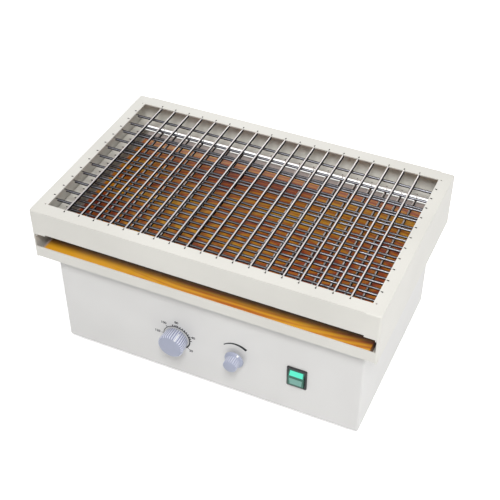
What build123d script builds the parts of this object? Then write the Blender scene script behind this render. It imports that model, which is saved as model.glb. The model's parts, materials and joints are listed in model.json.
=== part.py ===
"""A bench-top reciprocating shaker: a spring-topped tray that slides to and fro on a sheet-metal base.

Millimetres, +Z up, the front with its controls towards -Y. The sub-parts are modelled about the
tray's middle, and put_in_file() moves them so that the origin lies on the floor, under the middle
of the whole box at rest.
"""

from build123d import *
from math import acos, asin, cos, degrees, pi, radians, sin, tan
import os

# Tray, as seen from outside
tray_length = 442.0
tray_width = 276.0
tray_height = 72.0
tray_sheet = 1.5
tray_corner_radius = 3.0
bend_radius = 2.0
side_flange = 16.0
front_flange = 17.5
rim_depth = 35.0
corner_return = 18.0
corner_return_drop = 1.0
lip_height = 16.0
weld_gap = 0.3

# Wooden board in the tray
board_end_gap = 8.5
board_thickness = 14.0
board_side_gap = 0.3

# Two nets of tension springs
spring_pitch = 20.0
long_spring_count = 11
cross_spring_count = 19
spring_diameter = 4.5
spring_wire = 0.8
spring_sides = 6
spring_hole_diameter = 2.4
spring_hole_inset = 3.5
spring_spacing = 0.3
spring_end_gap = 0.5
hook_tip = 0.6
rail_wall_gap = 2.2
rail_leg = 7.0

# Base
base_length = 400.0
base_width = 254.0
cover_height = 128.0
cover_sheet = 1.2
cover_corner_radius = 2.5
cover_flange = 14.0
plate_thickness = 2.0
plate_inset = 0.8
tray_gap = 6.0
foot_height = 8.0
foot_diameter = 26.0
foot_sides = 24
foot_chamfer = 1.5
foot_inset_x = 45.0
foot_inset_y = 34.0

# Stroke: the crank throws the tray this far each way, and at rest the tray stands a little left
crank_throw = 10.0
rest_offset = 4.0

# Slide: two round rods, four bush blocks and a carriage plate
guide_rod_diameter = 10.0
guide_rod_spacing = 140.0
guide_rod_height = 106.0
rod_end_overhang = 2.0
bracket_spacing = 330.0
bracket_sheet = 3.0
bracket_foot = 20.0
bracket_width = 190.0
bracket_cutaway = 40.0
nut_thickness = 6.0
nut_width = 17.0
bush_length = 30.0
bush_width = 24.0
bush_height = 22.0
bush_spacing = 180.0
carriage_length = 236.0
carriage_width = 180.0
carriage_thickness = 3.0
carriage_corner_radius = 8.0
post_width = 12.0
post_spacing_x = 140.0
post_spacing_y = 100.0
post_clearance = 2.0

# Crank drive
crank_x = -30.0
rod_centres = 80.0
crank_pulley_diameter = 120.0
motor_pulley_diameter = 30.0
pulley_width = 10.0
pulley_flange = 2.0
pulley_flange_height = 1.5
pulley_rod_gap = 7.0
crank_shaft_diameter = 12.0
crank_pin_diameter = 8.0
rod_thickness = 8.0
rod_carriage_gap = 4.0
rod_eye_diameter = 24.0
rod_bush_diameter = 14.0
rod_waist = 12.0
clip_diameter = 14.0
pin_shoulder_diameter = 16.0
clip_thickness = 1.2
bearing_diameter = 28.0
bearing_width = 8.0
housing_diameter = 44.0
housing_flange_width = 64.0
housing_flange = 6.0
housing_pulley_gap = 2.0
housing_bore_gap = 3.0
belt_thickness = 3.0
motor_x = 112.0
motor_diameter = 68.0
motor_height = 64.0
motor_shaft_diameter = 8.0
motor_bracket_width = 92.0
motor_bracket_sheet = 3.0
motor_bracket_foot = 14.0
motor_pulley_gap = 4.0
motor_slot_length = 44.0
motor_slot_width = 4.0
motor_slot_pitch = 9.0

# Controls on the front, by their distance from the middle and above the base's lower edge
control_height = 60.0
timer_x = -40.0
speed_x = 40.0
switch_x = 120.0
knob_gap = 1.0
timer_knob_diameter = 34.0
timer_knob_height = 18.0
timer_knob_ribs = 48
timer_shaft_diameter = 6.0
timer_bush_diameter = 10.0
timer_body_size = 40.0
timer_body_depth = 34.0
speed_knob_diameter = 17.0
speed_knob_height = 18.0
speed_knob_ribs = 24
speed_skirt_diameter = 25.0
speed_skirt_height = 3.0
speed_bush_diameter = 8.0
speed_body_diameter = 24.0
speed_body_depth = 12.0
speed_shaft_diameter = 6.0
panel_nut_thickness = 2.5
bush_reach = 3.3
grip_edge = 1.8
rib_depth_share = 0.6
switch_width = 25.5
switch_height = 31.0
switch_bezel = 2.0
switch_body_width = 22.0
switch_body_height = 28.0
switch_body_depth = 24.0
switch_window_width = 20.8
switch_window_height = 26.2
rocker_width = 20.0
rocker_radius = 12.8
rocker_ridge = 8.0
rocker_slope = 11.0
rocker_tilt = 10.0
rocker_pivot_depth = 3.0
rocker_pin_diameter = 3.0

# Mains inlet and fuse on the back
inlet_x = -120.0
inlet_height = 36.0
inlet_width = 31.0
inlet_tall = 24.0
inlet_rim = 2.5
inlet_body_width = 27.0
inlet_body_tall = 20.0
inlet_body_depth = 22.0
socket_width = 24.0
socket_tall = 16.4
socket_depth = 16.0
fuse_x = -80.0
fuse_diameter = 12.0
fuse_depth = 30.0
fuse_bore = 8.0
fuse_rim = 2.0
fuse_cap_diameter = 16.0
fuse_cap_height = 9.0

# Control board
circuit_x = -116.0
circuit_y = 55.0
circuit_length = 90.0
circuit_width = 70.0
circuit_thickness = 1.6
circuit_spacer = 8.0

# Fits
running_fit = 0.05
fixed_fit = 0.02
body_gap = 0.3
screw_diameter = 4.0
screw_head_width = 7.0
screw_head_height = 2.2
screw_head_gap = 1.0
screw_engagement = 4.0
screw_tip_gap = 2.0

# Few sides for the small holes and screws, which repeat so often, and for rounds out of sight
small_sides = 6
hidden_sides = 24

# Heights above the floor
plate_bottom = foot_height
plate_top = plate_bottom + plate_thickness
cover_top = plate_top + cover_height
tray_bottom = cover_top + tray_gap
tray_top = tray_bottom + tray_height
rim_bottom = tray_top - rim_depth
floor_top = tray_bottom + tray_sheet
board_top = floor_top + board_thickness
board_length = tray_length - 2 * tray_sheet - 2 * board_end_gap
control_z = plate_bottom + control_height

# Plan
opening_length = tray_length - 2 * side_flange
opening_width = tray_width - 2 * front_flange
rim_length = tray_length - 2 * corner_return
lip_length = tray_length - 2 * tray_corner_radius
base_x = rest_offset
front_y = -base_width / 2
back_y = base_width / 2
panel_inside_y = front_y + cover_sheet

# Spring levels: the cross springs lie on the long ones above, and under them below
hook_drop = tray_sheet + spring_wire / 2 + spring_spacing
upper_cross_level = tray_top - hook_drop
upper_long_level = upper_cross_level - spring_diameter - spring_spacing
lower_long_level = rim_bottom - spring_wire / 2 - spring_spacing
lower_cross_level = lower_long_level - spring_diameter - spring_spacing

# Slide levels
bush_top = guide_rod_height + bush_height / 2
carriage_top = bush_top + carriage_thickness
post_height = tray_bottom - carriage_top
rod_top = bush_top - rod_carriage_gap
rod_bottom = rod_top - rod_thickness
pulley_top = rod_bottom - pulley_rod_gap
pulley_bottom = pulley_top - pulley_width
housing_top = pulley_bottom - housing_pulley_gap
motor_bracket_top = pulley_bottom - motor_pulley_gap
motor_top = motor_bracket_top - motor_bracket_sheet

# Screws reach into the posts from both ends, and stop short of each other
post_screw_reach = (post_height - screw_tip_gap) / 2

# Crank: its angle at rest is the one that sets the tray rest_offset left of mid-stroke
crank_angle = degrees(acos(-rest_offset / crank_throw))
pin_x = base_x + crank_x + crank_throw * cos(radians(crank_angle))
pin_y = crank_throw * sin(radians(crank_angle))
rod_angle = degrees(asin(-pin_y / rod_centres))
carriage_pin_x = pin_x + rod_centres * cos(radians(rod_angle))

# The knobs reach further forward than the tray, so the whole box's middle lies ahead of the tray's
knob_front = base_width / 2 + knob_gap + max(timer_knob_height, speed_knob_height)
frame_shift = (knob_front - tray_width / 2) / 2

os.makedirs("parts", exist_ok=True)


def put_in_file(piece, name):
    """Labels a finished piece, moves it into the part's frame and writes its file."""
    placed = piece.moved(Location((0, frame_shift, 0)))
    placed.label = name
    export_step(placed, f"parts/{name}.step")
    return placed


# Patterns of holes: each is laid out about the place where it is called


def foot_places():
    return GridLocations(base_length - 2 * foot_inset_x, base_width - 2 * foot_inset_y, 2, 2)


def cover_screw_places():
    return GridLocations((base_length - cover_flange) / 3, base_width - cover_flange - 2 * cover_sheet, 4, 2)


def post_places():
    return GridLocations(post_spacing_x, post_spacing_y, 2, 2)


def bush_places():
    return GridLocations(bush_spacing, guide_rod_spacing, 2, 2)


def bracket_screw_places():
    return GridLocations(bracket_spacing + bracket_foot, bracket_width * 0.7, 2, 2)


def housing_screw_places():
    return GridLocations(housing_flange_width - 16, housing_flange_width - 16, 2, 2)


def motor_screw_places():
    return GridLocations(0, motor_bracket_width + motor_bracket_foot, 1, 2)


def circuit_screw_places():
    return GridLocations(circuit_length - 8, circuit_width - 8, 2, 2)


def rod_eye_places():
    return GridLocations(rod_centres, 0, 2, 1)


def inlet_pin_places():
    return Locations((0, 2), (-7, -2), (7, -2))


def small_round(diameter, mode=Mode.ADD):
    """A small hole or shank, with few sides."""
    RegularPolygon(diameter / 2, small_sides, mode=mode)


def round_bar(diameter, mode=Mode.ADD):
    """A round out of sight whose corners lie on the diameter, for what turns or sits in a hole."""
    RegularPolygon(diameter / 2, hidden_sides, mode=mode)


def round_hole(diameter, mode=Mode.ADD):
    """A round out of sight whose flats lie on the diameter, so that a round bar clears it all round."""
    RegularPolygon(diameter / 2, hidden_sides, major_radius=False, mode=mode)


def screw(length):
    """A hexagon-head screw: its head under z = 0, its shank up from there."""
    with BuildPart() as made:
        with BuildSketch(Plane.XY.offset(-screw_head_height)):
            RegularPolygon(screw_head_width / 2, 6, major_radius=False)
        extrude(amount=screw_head_height)
        with BuildSketch():
            small_round(screw_diameter)
        extrude(amount=length)
    return made.part


# Tray: folded side panels that return round the corners, and between them a channel rim over a slot


with BuildPart() as tray_skin:
    with BuildSketch(Plane.XY.offset(tray_bottom)):
        RectangleRounded(tray_length, tray_width, tray_corner_radius)
    extrude(amount=tray_height)
    fillet(faces().sort_by(Axis.Z)[-1].edges(), bend_radius)
    with BuildSketch(Plane.XY.offset(tray_bottom)):
        RectangleRounded(
            tray_length - 2 * tray_sheet,
            tray_width - 2 * tray_sheet,
            tray_corner_radius - tray_sheet,
        )
    extrude(amount=tray_height - tray_sheet, mode=Mode.SUBTRACT)
    with BuildSketch(Plane.XY.offset(tray_top)):
        Rectangle(opening_length, opening_width)
        with GridLocations(
            opening_length + 2 * spring_hole_inset, spring_pitch, 2, long_spring_count + 2
        ):
            small_round(spring_hole_diameter)
    extrude(amount=-tray_sheet, mode=Mode.SUBTRACT)
    # Between the corner returns the rim is a piece of its own, and under it the front is open
    with BuildSketch(Plane.XY.offset(tray_bottom)):
        Rectangle(rim_length, tray_width)
    extrude(amount=tray_height, mode=Mode.SUBTRACT)
    with BuildSketch(Plane.XY.offset(tray_bottom)):
        Rectangle(lip_length, tray_width)
    extrude(amount=rim_bottom - corner_return_drop - tray_bottom, mode=Mode.SUBTRACT)

for side, name in ((-1, "tray_left_side"), (1, "tray_right_side")):
    with BuildPart() as tray_side:
        add(tray_skin.part)
        split(bisect_by=Plane.YZ, keep=Keep.TOP if side > 0 else Keep.BOTTOM)
    put_in_file(tray_side.part, name)

with BuildPart() as tray_front_rim:
    with BuildSketch(Plane.YZ.offset(-rim_length / 2)) as rim_section:
        with Locations((-tray_width / 2, rim_bottom)):
            Rectangle(front_flange, rim_depth, align=(Align.MIN, Align.MIN))
        fillet(rim_section.vertices().group_by(Axis.Y)[0], bend_radius)
        with Locations((-tray_width / 2 + tray_sheet, rim_bottom + tray_sheet)):
            Rectangle(front_flange, rim_depth - 2 * tray_sheet, align=(Align.MIN, Align.MIN), mode=Mode.SUBTRACT)
    extrude(amount=rim_length)
    with BuildSketch(Plane.XY.offset(rim_bottom)):
        with Locations((0, -opening_width / 2 - spring_hole_inset)):
            with GridLocations(spring_pitch, 0, cross_spring_count, 1):
                small_round(spring_hole_diameter)
    extrude(amount=rim_depth, mode=Mode.SUBTRACT)
put_in_file(tray_front_rim.part, "tray_front_rim")
put_in_file(tray_front_rim.part.mirror(Plane.XZ), "tray_rear_rim")

with BuildPart() as right_spring_rail:
    rail_outside = tray_length / 2 - tray_sheet - rail_wall_gap
    with BuildSketch(Plane.XZ.offset(-tray_width / 2 + tray_sheet + weld_gap)):
        with Locations((opening_length / 2, rim_bottom)):
            Rectangle(rail_outside - opening_length / 2, tray_sheet, align=(Align.MIN, Align.MIN))
        with Locations((rail_outside, rim_bottom + tray_sheet)):
            Rectangle(tray_sheet, rail_leg, align=(Align.MAX, Align.MAX))
    extrude(amount=tray_width - 2 * tray_sheet - 2 * weld_gap)
    with BuildSketch(Plane.XY.offset(rim_bottom)):
        with Locations((opening_length / 2 + spring_hole_inset, 0)):
            with GridLocations(0, spring_pitch, 1, long_spring_count):
                small_round(spring_hole_diameter)
    extrude(amount=tray_sheet, mode=Mode.SUBTRACT)
put_in_file(right_spring_rail.part, "right_spring_rail")
put_in_file(right_spring_rail.part.mirror(Plane.YZ), "left_spring_rail")

with BuildPart() as tray_pan:
    with BuildSketch(Plane.YZ.offset(-lip_length / 2)) as pan_section:
        with Locations((0, tray_bottom)):
            Rectangle(tray_width, lip_height, align=(Align.CENTER, Align.MIN))
        fillet(pan_section.vertices().group_by(Axis.Y)[0], bend_radius)
        with Locations((0, floor_top)):
            Rectangle(
                tray_width - 2 * tray_sheet,
                lip_height,
                align=(Align.CENTER, Align.MIN),
                mode=Mode.SUBTRACT,
            )
    extrude(amount=lip_length)
    with BuildSketch(Plane.XY.offset(tray_bottom)):
        Rectangle(
            tray_length - 2 * tray_sheet - 2 * weld_gap, tray_width - 2 * tray_corner_radius - 2 * weld_gap
        )
    extrude(amount=tray_sheet)
    with BuildSketch(Plane.XY.offset(tray_bottom)):
        with post_places():
            small_round(screw_diameter + 2 * running_fit)
    extrude(amount=tray_sheet, mode=Mode.SUBTRACT)
put_in_file(tray_pan.part, "tray_pan")

board_width = tray_width - 2 * tray_sheet - 2 * board_side_gap
with BuildPart() as wooden_board:
    with BuildSketch(Plane.XY.offset(floor_top)):
        Rectangle(board_length, board_width)
    extrude(amount=board_thickness)
    chamfer(faces().sort_by(Axis.Z)[-1].edges(), 0.5)
    # Pockets underneath for the heads of the screws that hold the tray on its posts
    with BuildSketch(Plane.XY.offset(floor_top)):
        with post_places():
            RegularPolygon(screw_head_width / 2 + screw_head_gap, 6, major_radius=False)
    extrude(amount=screw_head_height + screw_head_gap, mode=Mode.SUBTRACT)
put_in_file(wooden_board.part, "wooden_board")


# Springs: close-wound, so the turns touch and the body is a plain bar, with a hook at each end


def tension_spring(opening, rise):
    """One spring along X across the opening, its hooks rising through the flange holes."""
    body_length = opening - 2 * spring_end_gap
    hook_x = opening / 2 + spring_hole_inset
    with BuildPart() as spring:
        with BuildSketch(Plane.YZ.offset(-body_length / 2)):
            RegularPolygon(spring_diameter / 2, spring_sides, rotation=90)
        extrude(amount=body_length)
        with BuildLine() as hook:
            Polyline((body_length / 2, 0, 0), (hook_x, 0, 0), (hook_x, 0, rise))
        with BuildSketch(Plane(hook.line @ 0, z_dir=hook.line % 0)):
            RegularPolygon(spring_wire / 2, 4)
        sweep(path=hook.line, transition=Transition.RIGHT)
        mirror(about=Plane.YZ)
    return spring.part


def spring_net(spring, level, columns, rows, turned):
    """The springs of one direction in one layer, a spring_pitch apart."""
    with BuildPart() as net:
        with Locations((0, 0, level)):
            with GridLocations(spring_pitch, spring_pitch, columns, rows):
                add(spring, rotation=(0, 0, turned))
    return net.part


upper_tip = tray_top + hook_tip
lower_tip = rim_bottom + tray_sheet + hook_tip
for name, opening, level, tip, columns, rows, turned in (
    ("upper_long_springs", opening_length, upper_long_level, upper_tip, 1, long_spring_count, 0),
    ("upper_cross_springs", opening_width, upper_cross_level, upper_tip, cross_spring_count, 1, 90),
    ("lower_long_springs", opening_length, lower_long_level, lower_tip, 1, long_spring_count, 0),
    ("lower_cross_springs", opening_width, lower_cross_level, lower_tip, cross_spring_count, 1, 90),
):
    put_in_file(spring_net(tension_spring(opening, tip - level), level, columns, rows, turned), name)


# Base cover: a folded box, open below, with a flange that the plate is screwed to


post_slot_length = 2 * crank_throw + post_width + 2 * post_clearance
post_slot_width = post_width + 2 * post_clearance

with BuildPart() as base_cover:
    with BuildSketch(Plane.XY.offset(plate_top)):
        with Locations((base_x, 0)):
            RectangleRounded(base_length, base_width, cover_corner_radius)
    extrude(amount=cover_height)
    chamfer(faces().sort_by(Axis.Z)[-1].edges(), cover_sheet)
    with BuildSketch(Plane.XY.offset(plate_top + cover_sheet)):
        with Locations((base_x, 0)):
            RectangleRounded(
                base_length - 2 * cover_sheet,
                base_width - 2 * cover_sheet,
                cover_corner_radius - cover_sheet,
            )
    extrude(amount=cover_height - 2 * cover_sheet, mode=Mode.SUBTRACT)
    with BuildSketch(Plane.XY.offset(plate_top)):
        with Locations((base_x, 0)):
            Rectangle(base_length - 2 * cover_flange, base_width - 2 * cover_flange)
            with cover_screw_places():
                small_round(screw_diameter + 2 * running_fit)
    extrude(amount=cover_sheet, mode=Mode.SUBTRACT)
    # Slots that the tray's posts run in
    with BuildSketch(Plane.XY.offset(cover_top)):
        with Locations((base_x, 0)):
            with post_places():
                Rectangle(post_slot_length, post_slot_width)
    extrude(amount=-cover_sheet, mode=Mode.SUBTRACT)
    # Front: two shaft bushes and the switch
    with BuildSketch(Plane.XZ.offset(-front_y)):
        with Locations((base_x + timer_x, control_z)):
            round_hole(timer_bush_diameter + 2 * running_fit)
        with Locations((base_x + speed_x, control_z)):
            round_hole(speed_bush_diameter + 2 * running_fit)
        with Locations((base_x + switch_x, control_z)):
            Rectangle(switch_body_width + 2 * running_fit, switch_body_height + 2 * running_fit)
    extrude(amount=-cover_sheet, mode=Mode.SUBTRACT)
    # Back: the mains inlet and the fuse
    with BuildSketch(Plane.XZ.offset(-back_y)):
        with Locations((base_x + inlet_x, plate_bottom + inlet_height)):
            Rectangle(inlet_body_width + 2 * running_fit, inlet_body_tall + 2 * running_fit)
        with Locations((base_x + fuse_x, plate_bottom + inlet_height)):
            round_hole(fuse_diameter + 2 * running_fit)
    extrude(amount=cover_sheet, mode=Mode.SUBTRACT)
put_in_file(base_cover.part, "base_cover")


# Base plate, feet and their screws


with BuildPart() as base_plate:
    with BuildSketch(Plane.XY.offset(plate_bottom)):
        with Locations((base_x, 0)):
            RectangleRounded(base_length - 2 * plate_inset, base_width - 2 * plate_inset, cover_corner_radius)
            for places in (foot_places, cover_screw_places, bracket_screw_places):
                with places():
                    small_round(screw_diameter + 2 * running_fit, Mode.SUBTRACT)
        with Locations((base_x + crank_x, 0)):
            with housing_screw_places():
                small_round(screw_diameter + 2 * running_fit, Mode.SUBTRACT)
        with Locations((base_x + motor_x, 0)):
            with motor_screw_places():
                small_round(screw_diameter + 2 * running_fit, Mode.SUBTRACT)
            # Cooling slots under the motor
            with GridLocations(motor_slot_pitch, 0, 5, 1):
                Rectangle(motor_slot_width, motor_slot_length, mode=Mode.SUBTRACT)
    extrude(amount=plate_thickness)
put_in_file(base_plate.part, "base_plate")

# Each foot is moulded with a recess for its screw's head
with BuildPart() as foot:
    with BuildSketch():
        RegularPolygon(foot_diameter / 2, foot_sides)
    extrude(amount=foot_height)
    chamfer(faces().sort_by(Axis.Z)[0].edges(), foot_chamfer)
    with BuildSketch():
        RegularPolygon(screw_head_width / 2 + screw_head_gap, 6, major_radius=False)
    extrude(amount=foot_height / 2, mode=Mode.SUBTRACT)
    with BuildSketch():
        small_round(screw_diameter + 2 * running_fit)
    extrude(amount=foot_height, mode=Mode.SUBTRACT)

foot_names = ("foot_front_left", "foot_rear_left", "foot_front_right", "foot_rear_right")
for name, place in zip(foot_names, foot_places().local_locations):
    put_in_file(foot.part.moved(Location((base_x, 0, 0)) * place), name)


def fastened(fastener, *places):
    """The same fastener at each of the places."""
    with BuildPart() as group:
        for level, x, pattern in places:
            with Locations((x, 0, level)):
                with pattern():
                    add(fastener)
    return group.part


foot_screw_level = foot_height / 2
put_in_file(
    fastened(screw(plate_top - foot_screw_level + screw_engagement), (foot_screw_level, base_x, foot_places)),
    "foot_screws",
)

# The same screw holds the cover, the rod brackets, the bearing housing and the motor bracket from below
plate_screw = screw(plate_thickness + bracket_sheet + screw_engagement)
put_in_file(
    fastened(
        plate_screw,
        (plate_bottom, base_x, cover_screw_places),
        (plate_bottom, base_x, bracket_screw_places),
        (plate_bottom, base_x + crank_x, housing_screw_places),
        (plate_bottom, base_x + motor_x, motor_screw_places),
    ),
    "plate_screws",
)


# Slide: brackets on the plate, round rods between them, and the carriage that runs on the rods


with BuildPart() as right_rod_bracket:
    bracket_x = base_x + bracket_spacing / 2
    with BuildSketch(Plane.XZ.offset(-bracket_width / 2)):
        with Locations((bracket_x, plate_top)):
            Rectangle(bracket_foot, bracket_sheet, align=(Align.MIN, Align.MIN))
            Rectangle(
                bracket_sheet,
                guide_rod_height + bush_height / 2 - plate_top,
                align=(Align.MIN, Align.MIN),
            )
    extrude(amount=bracket_width)
    # The upright is cut away between the rods
    with BuildSketch(Plane.YZ.offset(bracket_x)):
        with Locations((0, guide_rod_height + bush_height / 2)):
            Rectangle(guide_rod_spacing - 2 * bush_width, bracket_cutaway, align=(Align.CENTER, Align.MAX))
        with Locations((0, guide_rod_height)):
            with GridLocations(guide_rod_spacing, 0, 2, 1):
                round_hole(guide_rod_diameter + 2 * fixed_fit)
    extrude(amount=bracket_sheet, mode=Mode.SUBTRACT)
    with BuildSketch(Plane.XY.offset(plate_top)):
        with Locations((base_x, 0)):
            with bracket_screw_places():
                small_round(screw_diameter + 2 * running_fit)
    extrude(amount=bracket_sheet, mode=Mode.SUBTRACT)
put_in_file(right_rod_bracket.part, "right_rod_bracket")
left_rod_bracket = right_rod_bracket.part.mirror(Plane.YZ.offset(base_x))
put_in_file(left_rod_bracket, "left_rod_bracket")

guide_rod_length = bracket_spacing + 2 * (bracket_sheet + nut_thickness + rod_end_overhang)
for name, y_side in (("front_guide_rod", -1), ("rear_guide_rod", 1)):
    with BuildPart() as guide_rod:
        with BuildSketch(Plane.YZ.offset(base_x - guide_rod_length / 2)):
            with Locations((y_side * guide_rod_spacing / 2, guide_rod_height)):
                round_bar(guide_rod_diameter)
        extrude(amount=guide_rod_length)
    put_in_file(guide_rod.part, name)

with BuildPart() as guide_rod_nuts:
    nut_offset = bracket_spacing / 2 + bracket_sheet
    for start in (nut_offset, -nut_offset - nut_thickness):
        with BuildSketch(Plane.YZ.offset(base_x + start)):
            with Locations((0, guide_rod_height)):
                with GridLocations(guide_rod_spacing, 0, 2, 1):
                    RegularPolygon(nut_width / 2, 6, major_radius=False)
                    round_hole(guide_rod_diameter + 2 * fixed_fit, Mode.SUBTRACT)
        extrude(amount=nut_thickness)
put_in_file(guide_rod_nuts.part, "guide_rod_nuts")

# A bush block is held from above by one screw
bush_screw_depth = (bush_height - guide_rod_diameter) / 2 - 1.5
with BuildPart() as guide_bushes:
    for y_place in (-guide_rod_spacing / 2, guide_rod_spacing / 2):
        with BuildSketch(Plane.YZ.offset(-(bush_spacing + bush_length) / 2)):
            with Locations((y_place, guide_rod_height)):
                Rectangle(bush_width, bush_height)
                round_hole(guide_rod_diameter + 2 * running_fit, Mode.SUBTRACT)
        extrude(amount=bush_spacing + bush_length)
    with BuildSketch(Plane.XY.offset(bush_top)):
        Rectangle(bush_spacing - bush_length, guide_rod_spacing + bush_width)
    extrude(amount=-bush_height, mode=Mode.SUBTRACT)
    with BuildSketch(Plane.XY.offset(bush_top)):
        with bush_places():
            small_round(screw_diameter + 2 * running_fit)
    extrude(amount=-bush_screw_depth - 0.5, mode=Mode.SUBTRACT)
put_in_file(guide_bushes.part, "guide_bushes")

with BuildPart() as carriage_plate:
    with BuildSketch(Plane.XY.offset(bush_top)):
        RectangleRounded(carriage_length, carriage_width, carriage_corner_radius)
        with Locations((carriage_pin_x, 0)):
            round_hole(crank_pin_diameter + 2 * fixed_fit, Mode.SUBTRACT)
        for places in (post_places, bush_places):
            with places():
                small_round(screw_diameter + 2 * running_fit, Mode.SUBTRACT)
    extrude(amount=carriage_thickness)
put_in_file(carriage_plate.part, "carriage_plate")

# From above into the bush blocks, and from below into the posts
with BuildPart() as carriage_screws:
    with Locations(Location((0, 0, carriage_top), (180, 0, 0))):
        with bush_places():
            add(screw(carriage_thickness + bush_screw_depth))
    with Locations((0, 0, bush_top)):
        with post_places():
            add(screw(carriage_thickness + post_screw_reach))
put_in_file(carriage_screws.part, "carriage_screws")

with BuildPart() as tray_posts:
    with BuildSketch(Plane.XY.offset(carriage_top)):
        with post_places():
            RegularPolygon(post_width / 2, 6, major_radius=False)
            small_round(screw_diameter + 2 * running_fit, Mode.SUBTRACT)
    extrude(amount=post_height)
put_in_file(tray_posts.part, "tray_posts")

with BuildPart() as tray_screws:
    with Locations(Location((0, 0, floor_top), (180, 0, 0))):
        with post_places():
            add(screw(tray_sheet + post_screw_reach))
put_in_file(tray_screws.part, "tray_screws")


# Crank drive: a shaft in a bearing housing, a belt pulley with the crank pin, and the connecting rod


crank_centre = (base_x + crank_x, 0)
bearing_seats = (plate_top + housing_flange, housing_top - bearing_width)

with BuildPart() as bearing_housing:
    with BuildSketch(Plane.XY.offset(plate_top)):
        RectangleRounded(housing_flange_width, housing_flange_width, 6)
    extrude(amount=housing_flange)
    with BuildSketch(Plane.XY.offset(plate_top)):
        round_bar(housing_diameter)
    extrude(amount=housing_top - plate_top)
    with BuildSketch(Plane.XY.offset(plate_top)):
        round_hole(crank_shaft_diameter + 2 * housing_bore_gap)
    extrude(amount=housing_top - plate_top, mode=Mode.SUBTRACT)
    for seat in bearing_seats:
        with BuildSketch(Plane.XY.offset(seat)):
            round_hole(bearing_diameter + 2 * fixed_fit)
        extrude(amount=bearing_width, mode=Mode.SUBTRACT)
    # The lower bearing goes in from underneath
    with BuildSketch(Plane.XY.offset(plate_top)):
        round_hole(bearing_diameter + 2 * fixed_fit)
    extrude(amount=housing_flange, mode=Mode.SUBTRACT)
    with BuildSketch(Plane.XY.offset(plate_top)):
        with housing_screw_places():
            small_round(screw_diameter + 2 * running_fit)
    extrude(amount=housing_flange, mode=Mode.SUBTRACT)
put_in_file(bearing_housing.part.moved(Location(crank_centre)), "bearing_housing")

with BuildPart() as crank_bearings:
    for seat in bearing_seats:
        with BuildSketch(Plane.XY.offset(seat)):
            with Locations(crank_centre):
                round_bar(bearing_diameter)
                round_hole(crank_shaft_diameter + 2 * running_fit, Mode.SUBTRACT)
        extrude(amount=bearing_width)
put_in_file(crank_bearings.part, "crank_bearings")

with BuildPart() as crank_shaft:
    with BuildSketch(Plane.XY.offset(plate_top + 1)):
        with Locations(crank_centre):
            round_bar(crank_shaft_diameter)
    extrude(amount=pulley_top - 1 - plate_top)
put_in_file(crank_shaft.part, "crank_shaft")


def belt_pulley(diameter, bore):
    """A flanged pulley on its axis: the belt runs on its diameter, between two low flanges."""
    flange_diameter = diameter + 2 * pulley_flange_height
    with BuildPart() as pulley:
        for start, width, outside in (
            (0, pulley_width, diameter),
            (0, pulley_flange, flange_diameter),
            (pulley_width - pulley_flange, pulley_flange, flange_diameter),
        ):
            with BuildSketch(Plane.XY.offset(pulley_bottom + start)):
                round_bar(outside)
            extrude(amount=width)
        with BuildSketch(Plane.XY.offset(pulley_bottom)):
            round_hole(bore + 2 * fixed_fit)
        extrude(amount=pulley_width, mode=Mode.SUBTRACT)
    return pulley.part


with BuildPart() as crank_pulley:
    with Locations(crank_centre):
        add(belt_pulley(crank_pulley_diameter, crank_shaft_diameter))
    with BuildSketch(Plane.XY.offset(pulley_top)):
        with Locations((pin_x, pin_y)):
            round_hole(crank_pin_diameter + 2 * fixed_fit)
    extrude(amount=-pulley_width / 2, mode=Mode.SUBTRACT)
put_in_file(crank_pulley.part, "crank_pulley")

with BuildPart() as crank_pin:
    with BuildSketch(Plane.XY.offset(pulley_top - pulley_width / 2)):
        with Locations((pin_x, pin_y)):
            round_bar(crank_pin_diameter)
    extrude(amount=rod_bottom - body_gap - pulley_top + pulley_width / 2)
put_in_file(crank_pin.part, "crank_pin")

rod_plane = Plane(
    origin=(pin_x, pin_y, rod_bottom),
    x_dir=(cos(radians(rod_angle)), sin(radians(rod_angle)), 0),
    z_dir=(0, 0, 1),
)
with BuildPart() as connecting_rod:
    with BuildSketch(rod_plane):
        with Locations((rod_centres / 2, 0)):
            Rectangle(rod_centres, rod_waist)
            with rod_eye_places():
                round_bar(rod_eye_diameter)
    extrude(amount=rod_thickness)
    # The shank is thinner than the eyes
    with BuildSketch(rod_plane.offset(rod_thickness)):
        with Locations((rod_centres / 2, 0)):
            Rectangle(rod_centres - rod_eye_diameter, rod_eye_diameter)
    extrude(amount=-rod_thickness / 4, mode=Mode.SUBTRACT)
    with BuildSketch(rod_plane):
        with Locations((rod_centres / 2, 0)):
            with rod_eye_places():
                round_hole(rod_bush_diameter + 2 * fixed_fit)
    extrude(amount=rod_thickness, mode=Mode.SUBTRACT)
put_in_file(connecting_rod.part, "connecting_rod")

with BuildPart() as rod_bushes:
    with BuildSketch(rod_plane):
        with Locations((rod_centres / 2, 0)):
            with rod_eye_places():
                round_bar(rod_bush_diameter)
                round_hole(crank_pin_diameter + 2 * running_fit, Mode.SUBTRACT)
    extrude(amount=rod_thickness)
put_in_file(rod_bushes.part, "rod_bushes")

# The carriage pin has a shoulder under the plate, and a clip holds the rod's eye on it
clip_top = rod_bottom - body_gap
with BuildPart() as carriage_pin:
    with BuildSketch(Plane.XY.offset(clip_top - clip_thickness - 1)):
        with Locations((carriage_pin_x, 0)):
            round_bar(crank_pin_diameter)
    extrude(amount=carriage_top - clip_top + clip_thickness + 1)
    with BuildSketch(Plane.XY.offset(rod_top + body_gap)):
        with Locations((carriage_pin_x, 0)):
            round_bar(pin_shoulder_diameter)
    extrude(amount=bush_top - rod_top - body_gap)
put_in_file(carriage_pin.part, "carriage_pin")

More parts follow.
